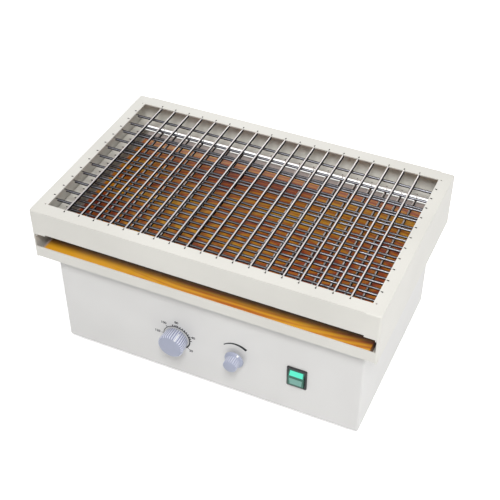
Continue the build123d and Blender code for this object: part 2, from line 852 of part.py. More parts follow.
with BuildPart() as rod_clip:
    with BuildSketch(Plane.XY.offset(clip_top - clip_thickness)):
        with Locations((carriage_pin_x, 0)):
            round_bar(clip_diameter)
            round_hole(crank_pin_diameter + 2 * fixed_fit, Mode.SUBTRACT)
            Rectangle(clip_diameter, crank_pin_diameter * 0.6, align=(Align.MIN, Align.CENTER), mode=Mode.SUBTRACT)
    extrude(amount=clip_thickness)
put_in_file(rod_clip.part, "rod_clip")


# Motor: it hangs from a bridge bracket, and its pulley drives the crank's by a flat belt


motor_centre = (base_x + motor_x, 0)

with BuildPart() as motor_bracket:
    with BuildSketch(Plane.YZ.offset(base_x + motor_x - motor_diameter / 2)):
        with Locations((0, plate_top)):
            Rectangle(
                motor_bracket_width + 2 * motor_bracket_foot,
                motor_bracket_sheet,
                align=(Align.CENTER, Align.MIN),
            )
            Rectangle(motor_bracket_width, motor_bracket_top - plate_top, align=(Align.CENTER, Align.MIN))
            Rectangle(
                motor_bracket_width - 2 * motor_bracket_sheet,
                motor_top - plate_top,
                align=(Align.CENTER, Align.MIN),
                mode=Mode.SUBTRACT,
            )
    extrude(amount=motor_diameter)
    with BuildSketch(Plane.XY.offset(motor_top)):
        with Locations(motor_centre):
            round_hole(2 * motor_shaft_diameter)
    extrude(amount=motor_bracket_sheet, mode=Mode.SUBTRACT)
    with BuildSketch(Plane.XY.offset(plate_top)):
        with Locations(motor_centre):
            with motor_screw_places():
                small_round(screw_diameter + 2 * running_fit)
    extrude(amount=motor_bracket_sheet, mode=Mode.SUBTRACT)
put_in_file(motor_bracket.part, "motor_bracket")

with BuildPart() as motor:
    with BuildSketch(Plane.XY.offset(motor_top - motor_height)):
        with Locations(motor_centre):
            round_bar(motor_diameter)
    extrude(amount=motor_height)
    with BuildSketch(Plane.XY.offset(motor_top)):
        with Locations(motor_centre):
            round_hole(motor_shaft_diameter + 2 * running_fit)
    extrude(amount=-motor_height / 2, mode=Mode.SUBTRACT)
put_in_file(motor.part, "motor")

with BuildPart() as motor_shaft:
    with BuildSketch(Plane.XY.offset(motor_top - motor_height / 2 + body_gap)):
        with Locations(motor_centre):
            round_bar(motor_shaft_diameter)
    extrude(amount=pulley_top - motor_top + motor_height / 2 - body_gap)
put_in_file(motor_shaft.part, "motor_shaft")
motor_pulley = belt_pulley(motor_pulley_diameter, motor_shaft_diameter)
put_in_file(motor_pulley.moved(Location(motor_centre)), "motor_pulley")

belt_bottom = pulley_bottom + pulley_flange + body_gap
belt_width = pulley_width - 2 * pulley_flange - 2 * body_gap
with BuildPart() as drive_belt:
    for outline, grow, mode in ((round_bar, belt_thickness, Mode.ADD), (round_hole, body_gap, Mode.SUBTRACT)):
        with BuildSketch(Plane.XY.offset(belt_bottom)):
            with Locations(crank_centre):
                outline(crank_pulley_diameter + 2 * grow)
            with Locations(motor_centre):
                outline(motor_pulley_diameter + 2 * grow)
            make_hull()
        extrude(amount=belt_width, mode=mode)
put_in_file(drive_belt.part, "drive_belt")


# Control board on four spacers


circuit_bottom = plate_top + circuit_spacer
circuit_centre = (base_x + circuit_x, circuit_y)
with BuildPart() as control_board:
    with BuildSketch(Plane.XY.offset(circuit_bottom)):
        with Locations(circuit_centre):
            Rectangle(circuit_length, circuit_width)
            with circuit_screw_places():
                small_round(screw_diameter / 2 + 1, Mode.SUBTRACT)
    extrude(amount=circuit_thickness)
put_in_file(control_board.part, "control_board")

with BuildPart() as board_spacers:
    with BuildSketch(Plane.XY.offset(plate_top)):
        with Locations(circuit_centre):
            with circuit_screw_places():
                RegularPolygon(3, 6)
    extrude(amount=circuit_spacer)
put_in_file(board_spacers.part, "board_spacers")

circuit_top = circuit_bottom + circuit_thickness
with BuildPart() as board_components:
    # A finned heat sink, two capacitors and a relay
    with BuildSketch(Plane.XY.offset(circuit_top)):
        with Locations((circuit_centre[0] - 22, circuit_y + 8)):
            Rectangle(3, 40)
            with GridLocations(0, 6, 1, 7):
                Rectangle(24, 1.6)
    extrude(amount=26)
    with BuildSketch(Plane.XY.offset(circuit_top)):
        with Locations((circuit_centre[0] + 8, circuit_y + 14)):
            with GridLocations(0, 20, 1, 2):
                round_bar(16)
    extrude(amount=22)
    with BuildSketch(Plane.XY.offset(circuit_top)):
        with Locations((circuit_centre[0] + 28, circuit_y - 8)):
            Rectangle(16, 20)
    extrude(amount=15)
put_in_file(board_components.part, "board_components")


# Timer: clockwork body behind the panel, threaded bush through it, nut, shaft and ribbed knob


timer_place = Location((base_x + timer_x, 0, control_z))
speed_place = Location((base_x + speed_x, 0, control_z))
switch_place = Location((base_x + switch_x, 0, control_z))


def control_plane(distance):
    """A plane facing the front, that far in front of the panel, for sketches about a control's axis."""
    return Plane.XZ.offset(-front_y + distance)


def control_body(outline, depth, bush_diameter, shaft_diameter):
    """A control's body behind the panel, its threaded bush through the panel, and the shaft's bore."""
    with BuildPart() as body:
        with BuildSketch(control_plane(-cover_sheet)):
            add(outline)
        extrude(amount=-depth)
        with BuildSketch(control_plane(-cover_sheet)):
            round_bar(bush_diameter)
        extrude(amount=cover_sheet + bush_reach)
        with BuildSketch(control_plane(bush_reach)):
            round_hole(shaft_diameter + 2 * running_fit)
        extrude(amount=-bush_reach - cover_sheet - depth / 2 - body_gap, mode=Mode.SUBTRACT)
    return body.part


def control_shaft(diameter, body_depth, knob_height):
    """A shaft that starts in the control's body and ends inside the knob."""
    with BuildPart() as shaft:
        with BuildSketch(control_plane(-cover_sheet - body_depth / 2)):
            round_bar(diameter)
        extrude(amount=cover_sheet + body_depth / 2 + knob_gap + knob_height * 0.7)
    return shaft.part


def rib_points(diameter, depth, ribs):
    """V ribs all round: points that lie by turns on the diameter and one rib's depth inside it."""
    radii = [diameter / 2 - depth * (i % 2) for i in range(2 * ribs)]
    return [(r * cos(pi * i / ribs), r * sin(pi * i / ribs)) for i, r in enumerate(radii)]


def ribbed_knob(diameter, height, ribs, skirt_diameter, skirt_height, shaft_diameter, bush_diameter):
    """A knob: a smooth rounded core, V ribs that end below its front edge, a skirt, a hollow back."""
    rib_depth = diameter / ribs * rib_depth_share
    core_diameter = diameter - 2 * rib_depth
    with BuildPart() as knob:
        with BuildSketch(control_plane(knob_gap + skirt_height)):
            Circle(core_diameter / 2)
        extrude(amount=height - skirt_height)
        chamfer(knob.edges().filter_by(GeomType.CIRCLE).sort_by(Axis.Y)[0], grip_edge)
        with BuildSketch(control_plane(knob_gap + skirt_height)):
            with BuildLine():
                Polyline(*rib_points(diameter, rib_depth, ribs), close=True)
            make_face()
        extrude(amount=height - skirt_height - grip_edge)
        if skirt_height:
            with BuildSketch(control_plane(knob_gap)):
                Circle(skirt_diameter / 2)
            extrude(amount=skirt_height)
        with BuildSketch(control_plane(knob_gap)):
            round_hole(shaft_diameter + 2 * fixed_fit)
        extrude(amount=height * 0.7, mode=Mode.SUBTRACT)
        with BuildSketch(control_plane(knob_gap)):
            round_hole(2 * (bush_diameter * 0.82 + body_gap))
        extrude(amount=panel_nut_thickness + 2, mode=Mode.SUBTRACT)
    return knob.part


with BuildSketch() as timer_outline:
    RectangleRounded(timer_body_size, timer_body_size, 3)
with BuildSketch() as speed_outline:
    round_bar(speed_body_diameter)

timer_body = control_body(
    timer_outline.sketch, timer_body_depth, timer_bush_diameter, timer_shaft_diameter
)
put_in_file(timer_body.moved(timer_place), "timer_body")
speed_body = control_body(
    speed_outline.sketch, speed_body_depth, speed_bush_diameter, speed_shaft_diameter
)
put_in_file(speed_body.moved(speed_place), "speed_body")

with BuildPart() as panel_nuts:
    with BuildSketch(Plane.XZ.offset(-front_y)):
        for x, bush_diameter in ((timer_x, timer_bush_diameter), (speed_x, speed_bush_diameter)):
            with Locations((base_x + x, control_z)):
                RegularPolygon(bush_diameter * 0.7, 6, major_radius=False)
                round_hole(bush_diameter + 2 * fixed_fit, Mode.SUBTRACT)
    extrude(amount=panel_nut_thickness)
put_in_file(panel_nuts.part, "panel_nuts")

timer_shaft = control_shaft(timer_shaft_diameter, timer_body_depth, timer_knob_height)
put_in_file(timer_shaft.moved(timer_place), "timer_shaft")
timer_knob = ribbed_knob(
    timer_knob_diameter,
    timer_knob_height,
    timer_knob_ribs,
    timer_knob_diameter,
    0,
    timer_shaft_diameter,
    timer_bush_diameter,
)
put_in_file(timer_knob.moved(timer_place), "timer_knob")

speed_shaft = control_shaft(speed_shaft_diameter, speed_body_depth, speed_knob_height)
put_in_file(speed_shaft.moved(speed_place), "speed_shaft")
speed_knob = ribbed_knob(
    speed_knob_diameter,
    speed_knob_height,
    speed_knob_ribs,
    speed_skirt_diameter,
    speed_skirt_height,
    speed_shaft_diameter,
    speed_bush_diameter,
)
put_in_file(speed_knob.moved(speed_place), "speed_knob")


# Switch: a housing with a bezel, and a rocker on two pins, at rest with its upper half pressed in


rocker_centre = (base_x + switch_x, front_y + rocker_pivot_depth, control_z)
tilt = radians(rocker_tilt)
rocker_plane = Plane(origin=rocker_centre, x_dir=(0, -cos(tilt), sin(tilt)), z_dir=(-1, 0, 0))

with BuildPart() as switch_housing:
    with BuildSketch(control_plane(0)):
        RectangleRounded(switch_width, switch_height, 1.5)
    extrude(amount=switch_bezel)
    chamfer(switch_housing.faces().sort_by(Axis.Y)[0].edges(), 0.7)
    with BuildSketch(control_plane(0)):
        Rectangle(switch_body_width, switch_body_height)
    extrude(amount=-switch_body_depth)
    with BuildSketch(control_plane(switch_bezel)):
        Rectangle(switch_window_width, switch_window_height)
    extrude(amount=-switch_bezel - rocker_pivot_depth - rocker_radius - 1, mode=Mode.SUBTRACT)
    with BuildSketch(Plane.YZ):
        with Locations((front_y + rocker_pivot_depth, 0)):
            round_hole(rocker_pin_diameter + 2 * running_fit)
    extrude(amount=switch_body_width / 2, both=True, mode=Mode.SUBTRACT)
put_in_file(switch_housing.part.moved(switch_place), "switch_housing")

with BuildPart() as power_rocker:
    with BuildSketch(rocker_plane):
        Circle(rocker_radius)
        end_x = rocker_ridge - rocker_radius * tan(radians(rocker_slope))
        with BuildLine():
            Polyline(
                (rocker_ridge, 0),
                (end_x, rocker_radius),
                (-rocker_radius / 3, rocker_radius),
                (-rocker_radius / 3, -rocker_radius),
                (end_x, -rocker_radius),
                close=True,
            )
        make_face(mode=Mode.INTERSECT)
    extrude(amount=rocker_width / 2, both=True)
    with BuildSketch(rocker_plane):
        round_bar(rocker_pin_diameter)
    extrude(amount=rocker_width / 2 + 0.8, both=True)
put_in_file(power_rocker.part, "power_rocker")


# Back: mains inlet with its three pins, and the fuse holder with its cap


back_level = plate_bottom + inlet_height
inlet_plane = Plane(origin=(base_x + inlet_x, back_y, back_level), x_dir=(-1, 0, 0), z_dir=(0, 1, 0))
fuse_plane = Plane(origin=(base_x + fuse_x, back_y, back_level), x_dir=(-1, 0, 0), z_dir=(0, 1, 0))
with BuildPart() as power_inlet:
    with BuildSketch(inlet_plane):
        RectangleRounded(inlet_width, inlet_tall, 3)
    extrude(amount=inlet_rim)
    with BuildSketch(inlet_plane):
        Rectangle(inlet_body_width, inlet_body_tall)
    extrude(amount=-inlet_body_depth)
    with BuildSketch(inlet_plane.offset(inlet_rim)) as socket:
        Rectangle(socket_width, socket_tall)
        chamfer(socket.vertices().group_by(Axis.Y)[-1], 4)
    extrude(amount=-inlet_rim - socket_depth, mode=Mode.SUBTRACT)
    with BuildSketch(inlet_plane):
        with inlet_pin_places():
            Rectangle(2 + 2 * fixed_fit, 4 + 2 * fixed_fit)
    extrude(amount=-inlet_body_depth, mode=Mode.SUBTRACT)
put_in_file(power_inlet.part, "power_inlet")

with BuildPart() as inlet_pins:
    with BuildSketch(inlet_plane.offset(-2)):
        with inlet_pin_places():
            Rectangle(2, 4)
    extrude(amount=-inlet_body_depth - 4)
put_in_file(inlet_pins.part, "inlet_pins")

with BuildPart() as fuse_holder:
    with BuildSketch(fuse_plane):
        Circle(fuse_cap_diameter / 2)
    extrude(amount=fuse_rim)
    with BuildSketch(fuse_plane):
        round_bar(fuse_diameter)
    extrude(amount=-fuse_depth)
    with BuildSketch(fuse_plane.offset(-cover_sheet)):
        RegularPolygon(fuse_diameter * 0.75, 6, major_radius=False)
    extrude(amount=-3)
    with BuildSketch(fuse_plane.offset(fuse_rim)):
        small_round(fuse_bore)
    extrude(amount=-fuse_depth, mode=Mode.SUBTRACT)
put_in_file(fuse_holder.part, "fuse_holder")

with BuildPart() as fuse_cap:
    with BuildSketch(fuse_plane.offset(fuse_rim)):
        RegularPolygon(fuse_cap_diameter / 2 - 0.5, 12)
    extrude(amount=fuse_cap_height - fuse_rim)
    with BuildSketch(fuse_plane.offset(fuse_rim)):
        small_round(fuse_bore - 2 * running_fit)
    extrude(amount=-fuse_depth / 2)
put_in_file(fuse_cap.part, "fuse_cap")
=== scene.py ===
"""Looks of the reciprocating shaker: enamelled sheet steel, varnished wood, nets of coil springs, controls.

Metres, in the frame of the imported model: +X along the stroke, +Z up, the front with its controls towards -Y.
"""

import json
import math

import bmesh
import bpy
from mathutils import Euler, Matrix, Vector


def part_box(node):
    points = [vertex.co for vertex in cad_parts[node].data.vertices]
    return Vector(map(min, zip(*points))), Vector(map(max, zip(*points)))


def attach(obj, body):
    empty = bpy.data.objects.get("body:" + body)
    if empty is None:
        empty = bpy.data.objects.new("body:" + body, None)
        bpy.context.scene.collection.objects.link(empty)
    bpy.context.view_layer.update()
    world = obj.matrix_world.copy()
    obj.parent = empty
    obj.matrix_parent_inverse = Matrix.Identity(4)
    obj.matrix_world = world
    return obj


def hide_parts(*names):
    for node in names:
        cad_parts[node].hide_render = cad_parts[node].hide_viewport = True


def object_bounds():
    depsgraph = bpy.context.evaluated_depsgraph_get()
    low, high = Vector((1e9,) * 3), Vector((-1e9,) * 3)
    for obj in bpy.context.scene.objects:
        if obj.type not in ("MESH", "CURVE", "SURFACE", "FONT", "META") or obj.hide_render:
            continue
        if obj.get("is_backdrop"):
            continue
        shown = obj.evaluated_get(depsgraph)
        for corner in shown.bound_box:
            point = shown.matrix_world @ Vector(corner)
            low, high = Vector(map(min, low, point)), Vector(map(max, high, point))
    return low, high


MM = 0.001

# Nets of coil springs. The wire is drawn thicker than the real one, so that its turns show in the render.
# Six steps a turn keep each net a light mesh, and a groove's depth is a share of half the wire
WIRE_DIAMETER = 0.9 * MM
COIL_DIAMETER = 3.5 * MM
CAD_COIL_DIAMETER = 4.5 * MM
SPRING_PITCH = 20 * MM
LONG_SPRINGS = 11
CROSS_SPRINGS = 19
STEPS_PER_TURN = 6
GROOVE_SHARE = 0.12
FLANGE_GAP = 0.5 * MM
HOOK_INSET = 3.5 * MM
HOOK_TAIL = 2.0 * MM

# Knobs. Their ribs are fewer and bolder than the real ones, so that they show in the render. Each rib has
# that many points round it, a lower power makes the grooves narrower, and the flat back has an inner ring
# at a share of the radius
RIB_SAMPLES = 6
GROOVE_POWER = 0.6
KNOB_BACK_SHARE = 0.6
TIMER_RIBS = 34
TIMER_RIB_DEPTH = 0.9 * MM
TIMER_EDGE = 2.8 * MM
TIMER_DOME = 0.4 * MM
TIMER_POINTER_ANGLE = 63
TIMER_POINTER_WIDTH = 0.9 * MM
SPEED_RIBS = 20
SPEED_RIB_DEPTH = 0.7 * MM
SPEED_GRIP_DIAMETER = 18 * MM
SPEED_EDGE = 1.0 * MM
SPEED_DOME = 0.9 * MM
SPEED_SKIRT_HEIGHT = 3 * MM
SPEED_STAND_OFF = 3.5 * MM
# Painted highlight on the speed knob's skirt: a white streak at this angle and this wide
SPEED_HIGHLIGHT_ANGLE = 60
SPEED_HIGHLIGHT_WIDTH = 2.4 * MM
PAINT_THICKNESS = 0.03 * MM
PAINT_ROOT = 1.2 * MM

# Printed scales, about each knob's axis: numbers with their middles' places in mm, and ticks as length and
# width. The print is bolder than the real one, so that it shows in the render
PRINT_THICKNESS = 0.04 * MM
TIMER_NUMBERS = (
    ("120", -26.5, 1.4),
    ("100", -17, 19),
    ("80", 0.7, 25.3),
    ("40", 22.8, 8.2),
    ("20", 19.1, -15.8),
)
NUMBER_HEIGHT = 3.6 * MM
NUMBER_BOLDNESS = 0.16 * MM
DIGIT_SHARE = 0.7
TIMER_SCALE_RADIUS = 17.9 * MM
TIMER_SCALE_ANGLES = (180, -46)
TIMER_SCALE_WIDTHS = (0.7 * MM, 2.0 * MM)
TIMER_TICK = (3.2 * MM, 0.7 * MM)
TIMER_MINOR_TICK = (2.8 * MM, 1.4 * MM)
TIMER_MINOR_ANGLES = range(104, 0, -10)
SPEED_SCALE_RADIUS = 21.9 * MM
SPEED_SCALE_ANGLES = (136, 50)
SPEED_SCALE_WIDTHS = (1.3 * MM, 4.0 * MM)
ARC_STEPS = 60

# Rocker: its two facets slope from a ridge, and it rests tilted
ROCKER_TILT = 10
ROCKER_SLOPE = 11
ROCKER_RIDGE = 8 * MM
PANEL_ROOT = 0.3 * MM

# Camera, from the photograph's edges
CAMERA_FROM_TRAY_TOP = (0.4234, -0.9197, 0.7819)
CAMERA_ANGLES = (49.17, 0, 24.45)
CAMERA_LENS = 75.98
SENSOR_WIDTH = 36.0

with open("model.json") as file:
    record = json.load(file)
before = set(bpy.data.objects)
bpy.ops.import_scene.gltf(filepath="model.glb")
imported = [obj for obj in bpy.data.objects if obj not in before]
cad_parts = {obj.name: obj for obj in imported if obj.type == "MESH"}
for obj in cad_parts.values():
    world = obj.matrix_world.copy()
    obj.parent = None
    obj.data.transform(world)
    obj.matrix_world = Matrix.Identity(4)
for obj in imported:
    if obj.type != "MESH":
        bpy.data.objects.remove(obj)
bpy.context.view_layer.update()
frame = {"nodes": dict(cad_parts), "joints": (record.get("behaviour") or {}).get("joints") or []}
nodes = frame["nodes"]
joints = {joint["name"]: joint for joint in frame["joints"]}


# Helpers


def linear(hex_colour):
    """A colour written as sRGB hex, as linear RGBA."""
    values = [int(hex_colour[i : i + 2], 16) / 255 for i in (1, 3, 5)]
    return [v / 12.92 if v <= 0.04045 else ((v + 0.055) / 1.055) ** 2.4 for v in values] + [1.0]


def add_node(tree, kind, inputs=None, stops=(), **settings):
    """Adds a node with its settings and links.

    An input is a value or another node's output. Stops are a ramp's (position, hex colour) pairs.
    """
    node = tree.nodes.new(kind)
    for name, value in settings.items():
        setattr(node, name, value)
    for name, value in (inputs or {}).items():
        if isinstance(value, bpy.types.NodeSocket):
            tree.links.new(value, node.inputs[name])
        else:
            node.inputs[name].default_value = value
    if stops:
        elements = node.color_ramp.elements
        while len(elements) < len(stops):
            elements.new(0.5)
        for element, (position, colour) in zip(elements, stops):
            element.position = position
            element.color = linear(colour)
    return node


def new_material(name, **values):
    """A material with one Principled shader; values are its socket values by name."""
    material = bpy.data.materials.new(name)
    material.use_nodes = True
    shader = material.node_tree.nodes["Principled BSDF"]
    for key, value in values.items():
        shader.inputs[key.replace("_", " ")].default_value = value
    return material, material.node_tree, shader


def scale_for(*sizes):
    """A pattern's scale along X, Y and Z, from its real sizes in mm."""
    return [1 / (size * MM) for size in sizes]


def object_from(mesh_or_bmesh, name, material, body):
    """A piece made of that mesh, riding on a body and finished as a slot says."""
    if isinstance(mesh_or_bmesh, bmesh.types.BMesh):
        mesh = bpy.data.meshes.new(name)
        mesh_or_bmesh.to_mesh(mesh)
        mesh_or_bmesh.free()
    else:
        mesh = mesh_or_bmesh
    if not mesh.materials:
        mesh.materials.append(material)
    piece = bpy.data.objects.new(name, mesh)
    bpy.context.scene.collection.objects.link(piece)
    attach(piece, body)
    return piece


# Materials


def sprayed_enamel(name, colour, shade):
    """Enamel sprayed and baked on steel: satin gloss, a faint orange peel and a slightly uneven tone.

    The peel's bumps are 1.5 mm across, and the tone drifts over 111 mm.
    """
    material, tree, shader = new_material(name, IOR=1.5)
    place = add_node(tree, "ShaderNodeTexCoord").outputs["Object"]
    cloud = add_node(
        tree, "ShaderNodeTexNoise", {"Vector": place, "Scale": 1 / (111 * MM), "Detail": 2}
    ).outputs["Fac"]
    tone = add_node(tree, "ShaderNodeValToRGB", {"Fac": cloud}, ((0.35, shade), (0.65, colour)))
    gloss = add_node(tree, "ShaderNodeMapRange", {"Value": cloud, "To Min": 0.32, "To Max": 0.44})
    peel = add_node(tree, "ShaderNodeTexNoise", {"Vector": place, "Scale": 1 / (1.54 * MM), "Detail": 1})
    bump = add_node(
        tree,
        "ShaderNodeBump",
        {"Height": peel.outputs["Fac"], "Strength": 0.08, "Distance": 0.1 * MM},
    )
    tree.links.new(tone.outputs["Color"], shader.inputs["Base Color"])
    tree.links.new(gloss.outputs["Result"], shader.inputs["Roughness"])
    tree.links.new(bump.outputs["Normal"], shader.inputs["Normal"])
    return material


# The board's figure: the rings' spacing, how far they sway, and how strongly rings and fibres show
RING_SPACING = 7 * MM
RING_SWAY = 30 * MM
RING_TONE = 0.14
FIBRE_TONE = 0.22
# The pith's climb along X, and how deep it lies under the middle
PITH_SLOPE = 0.34
PITH_DEPTH = 12 * MM
# Tones that fade out between two distances from the front edge: a paler one, painted light where the lamp
# reaches the board through the slot, and a redder one
LIT_FRONT_EDGE = {"From Min": 10 * MM, "From Max": 60 * MM, "To Min": -0.34, "To Max": 0.0}
RED_HEARTWOOD = {"From Min": 70 * MM, "From Max": 150 * MM, "To Min": 0.12, "To Max": 0.0}
WOOD_COLOURS = ((0.32, "#E0A014"), (0.54, "#C97A08"), (0.76, "#B04A04"), (1.0, "#701E02"))
# Painted shade under the front flange: tints multiplied into the wood, at shares of this distance from
# the front edge
FRONT_SHADE_REACH = 100 * MM
FRONT_SHADE_TINTS = (
    (0.06, "#FFFFFF"),
    (0.13, "#B4AC98"),
    (0.19, "#4A4030"),
    (0.24, "#140E08"),
    (0.50, "#2A221A"),
    (0.75, "#FFFFFF"),
)
# Grey-brown margins, as distances from the left and rear edges: where the wood's colour begins, and where it
# is whole
GREY_LEFT_MARGIN = (2 * MM, 4 * MM)
GREY_REAR_MARGIN = (12 * MM, 15 * MM)
MARGIN_COLOUR = "#A0908A"


def varnished_wood():
    """Plain-sawn softwood under old gloss varnish: rings cut into long arches, with fine fibres along X.

    The front edge is painted paler, as painted light where the lamp reaches it through the slot. Behind it,
    under the flange, painted shade turns it nearly black, and the left and rear margins are grey-brown.
    """
    low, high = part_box("wooden_board")
    material, tree, shader = new_material(
        "varnished_wood", Roughness=0.5, Coat_Weight=0.35, Coat_Roughness=0.12
    )
    place = add_node(tree, "ShaderNodeTexCoord").outputs["Object"]
    axes = add_node(tree, "ShaderNodeSeparateXYZ", {"Vector": place}).outputs
    slow = add_node(
        tree, "ShaderNodeMapping", {"Vector": place, "Scale": scale_for(455, 111, 111)}
    ).outputs["Vector"]
    # The pith runs under the board and rises along it, so that the rings' cut edges close into arches
    sway = add_node(tree, "ShaderNodeTexNoise", {"Vector": slow, "Scale": 1.3, "Detail": 3})
    above_pith = add_node(
        tree, "ShaderNodeMath", {0: axes["X"], 1: PITH_SLOPE, 2: -PITH_DEPTH}, operation="MULTIPLY_ADD"
    )
    beside_pith = add_node(
        tree,
        "ShaderNodeMath",
        {0: sway.outputs["Fac"], 1: RING_SWAY, 2: axes["Y"]},
        operation="MULTIPLY_ADD",
    )
    from_pith = add_node(
        tree, "ShaderNodeCombineXYZ", {"X": above_pith.outputs[0], "Y": beside_pith.outputs[0]}
    )
    age = add_node(tree, "ShaderNodeVectorMath", {0: from_pith.outputs["Vector"]}, operation="LENGTH")
    seasons = add_node(
        tree,
        "ShaderNodeMath",
        {0: age.outputs["Value"], 1: 2 * math.pi / RING_SPACING},
        operation="MULTIPLY",
    )
    rings = add_node(tree, "ShaderNodeMath", {0: seasons.outputs[0]}, operation="SINE")
    # Fibres are 167 mm long and drawn 2.4 mm wide, coarser than real, so that they show
    fibres_at = add_node(
        tree, "ShaderNodeMapping", {"Vector": place, "Scale": scale_for(167, 2.38, 2.38)}
    )
    fibres = add_node(
        tree, "ShaderNodeTexNoise", {"Vector": fibres_at.outputs["Vector"], "Scale": 1.0, "Detail": 4}
    ).outputs["Fac"]
    patches = add_node(tree, "ShaderNodeTexNoise", {"Vector": slow, "Scale": 2.0, "Detail": 3})
    heartwood = add_node(
        tree,
        "ShaderNodeMapRange",
        {
            "Value": patches.outputs["Fac"],
            "From Min": 0.38,
            "From Max": 0.62,
            "To Min": 0.24,
            "To Max": 0.70,
        },
    )
    ringed = add_node(
        tree,
        "ShaderNodeMath",
        {0: rings.outputs[0], 1: RING_TONE, 2: heartwood.outputs["Result"]},
        operation="MULTIPLY_ADD",
    )
    grained = add_node(
        tree, "ShaderNodeMath", {0: fibres, 1: FIBRE_TONE, 2: ringed.outputs[0]}, operation="MULTIPLY_ADD"
    )
    from_edge = add_node(
        tree, "ShaderNodeMath", {0: axes["Y"], 1: low.y}, operation="SUBTRACT"
    ).outputs[0]
    # Painted light: the wood is paler by the front edge, where the lamp reaches it through the slot
    lit_front_tone = add_node(tree, "ShaderNodeMapRange", {"Value": from_edge, **LIT_FRONT_EDGE})
    redder = add_node(tree, "ShaderNodeMapRange", {"Value": from_edge, **RED_HEARTWOOD})
    edge_tone = add_node(
        tree,
        "ShaderNodeMath",
        {0: lit_front_tone.outputs["Result"], 1: redder.outputs["Result"]},
        operation="ADD",
    )
    tone = add_node(
        tree, "ShaderNodeMath", {0: grained.outputs[0], 1: edge_tone.outputs[0]}, operation="ADD"
    )
    bare = add_node(tree, "ShaderNodeValToRGB", {"Fac": tone.outputs[0]}, WOOD_COLOURS)
    # Painted shade: the wood is darkened under the front flange, nearly black at its darkest
    front_shade_share = add_node(
        tree, "ShaderNodeMapRange", {"Value": from_edge, "From Max": FRONT_SHADE_REACH}
    )
    front_shade = add_node(
        tree, "ShaderNodeValToRGB", {"Fac": front_shade_share.outputs["Result"]}, FRONT_SHADE_TINTS
    )
    front_shaded = add_node(
        tree,
        "ShaderNodeMix",
        {0: 1.0, 6: bare.outputs["Color"], 7: front_shade.outputs["Color"]},
        data_type="RGBA",
        blend_type="MULTIPLY",
    )
    left_margin = add_node(
        tree,
        "ShaderNodeMapRange",
        {
            "Value": axes["X"],
            "From Min": low.x + GREY_LEFT_MARGIN[0],
            "From Max": low.x + GREY_LEFT_MARGIN[1],
            "To Min": 1.0,
            "To Max": 0.0,
        },
    )
    rear_margin = add_node(
        tree,
        "ShaderNodeMapRange",
        {"Value": axes["Y"], "From Min": high.y - GREY_REAR_MARGIN[1], "From Max": high.y - GREY_REAR_MARGIN[0]},
    )
    margin = add_node(
        tree,
        "ShaderNodeMath",
        {0: left_margin.outputs["Result"], 1: rear_margin.outputs["Result"]},
        operation="MAXIMUM",
    )
    margined = add_node(
        tree,
        "ShaderNodeMix",
        {0: margin.outputs[0], 6: front_shaded.outputs[2], 7: linear(MARGIN_COLOUR)},
        data_type="RGBA",
    )
    bump = add_node(tree, "ShaderNodeBump", {"Height": fibres, "Strength": 0.15, "Distance": 0.2 * MM})
    tree.links.new(margined.outputs[2], shader.inputs["Base Color"])
    tree.links.new(bump.outputs["Normal"], shader.inputs["Normal"])
    return material


def worked_metal(name, colour, roughness, marks, spread=0.08):
    """Bare or plated metal, glossier and duller in turn where it was worked, in marks of that size in mm."""
    material, tree, shader = new_material(name, Metallic=1.0, Base_Color=linear(colour))
    place = add_node(tree, "ShaderNodeTexCoord").outputs["Object"]
    marks_at = add_node(tree, "ShaderNodeMapping", {"Vector": place, "Scale": scale_for(*marks)})
    wear = add_node(
        tree, "ShaderNodeTexNoise", {"Vector": marks_at.outputs["Vector"], "Scale": 1, "Detail": 3}
    )
    gloss = add_node(
        tree,
        "ShaderNodeMapRange",
        {"Value": wear.outputs["Fac"], "To Min": roughness - spread, "To Max": roughness + spread},
    )
    tree.links.new(gloss.outputs["Result"], shader.inputs["Roughness"])
    return material


def spring_steel(name, side, *shades):
    """Close-wound drawn wire in painted light: a painted highlight where the turns face the eye, fading
    to painted shade where they are seen at a slant.

    Side says how much of the darkening lies on the +X side, away from the light.
    """
    material = worked_metal(name, "#D6D0CE", 0.30, (3.33, 3.33, 3.33), 0.04)
    tree = material.node_tree
    slant = add_node(tree, "ShaderNodeLayerWeight", {"Blend": 0.5}).outputs["Facing"]
    place = add_node(tree, "ShaderNodeTexCoord").outputs
    facing = add_node(tree, "ShaderNodeSeparateXYZ", {"Vector": place["Normal"]}).outputs
    shift = add_node(tree, "ShaderNodeMath", {0: facing["X"], 1: side}, operation="MULTIPLY")
    painted_shade_share = add_node(
        tree,
        "ShaderNodeMath",
        {0: slant, 1: 1.0 - 0.8 * side, 2: shift.outputs[0]},
        operation="MULTIPLY_ADD",
    )
    # Painted light: the ramp runs from a painted highlight to painted shade
    wire = add_node(tree, "ShaderNodeValToRGB", {"Fac": painted_shade_share.outputs[0]}, shades)
    # Painted shade: the hooks' tails, bent over on the flanges, are painted black to stand for the dark holes
    # they come up through
    height = add_node(tree, "ShaderNodeSeparateXYZ", {"Vector": place["Object"]}).outputs["Z"]
    flange_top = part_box("tray_front_rim")[1].z
    hole_shade_mask = add_node(tree, "ShaderNodeMath", {0: height, 1: flange_top}, operation="GREATER_THAN")
    hole_shaded = add_node(
        tree,
        "ShaderNodeMix",
        {0: hole_shade_mask.outputs[0], 6: wire.outputs["Color"], 7: linear("#08080A")},
        data_type="RGBA",
    )
    tree.links.new(hole_shaded.outputs[2], tree.nodes["Principled BSDF"].inputs["Base Color"])
    return material


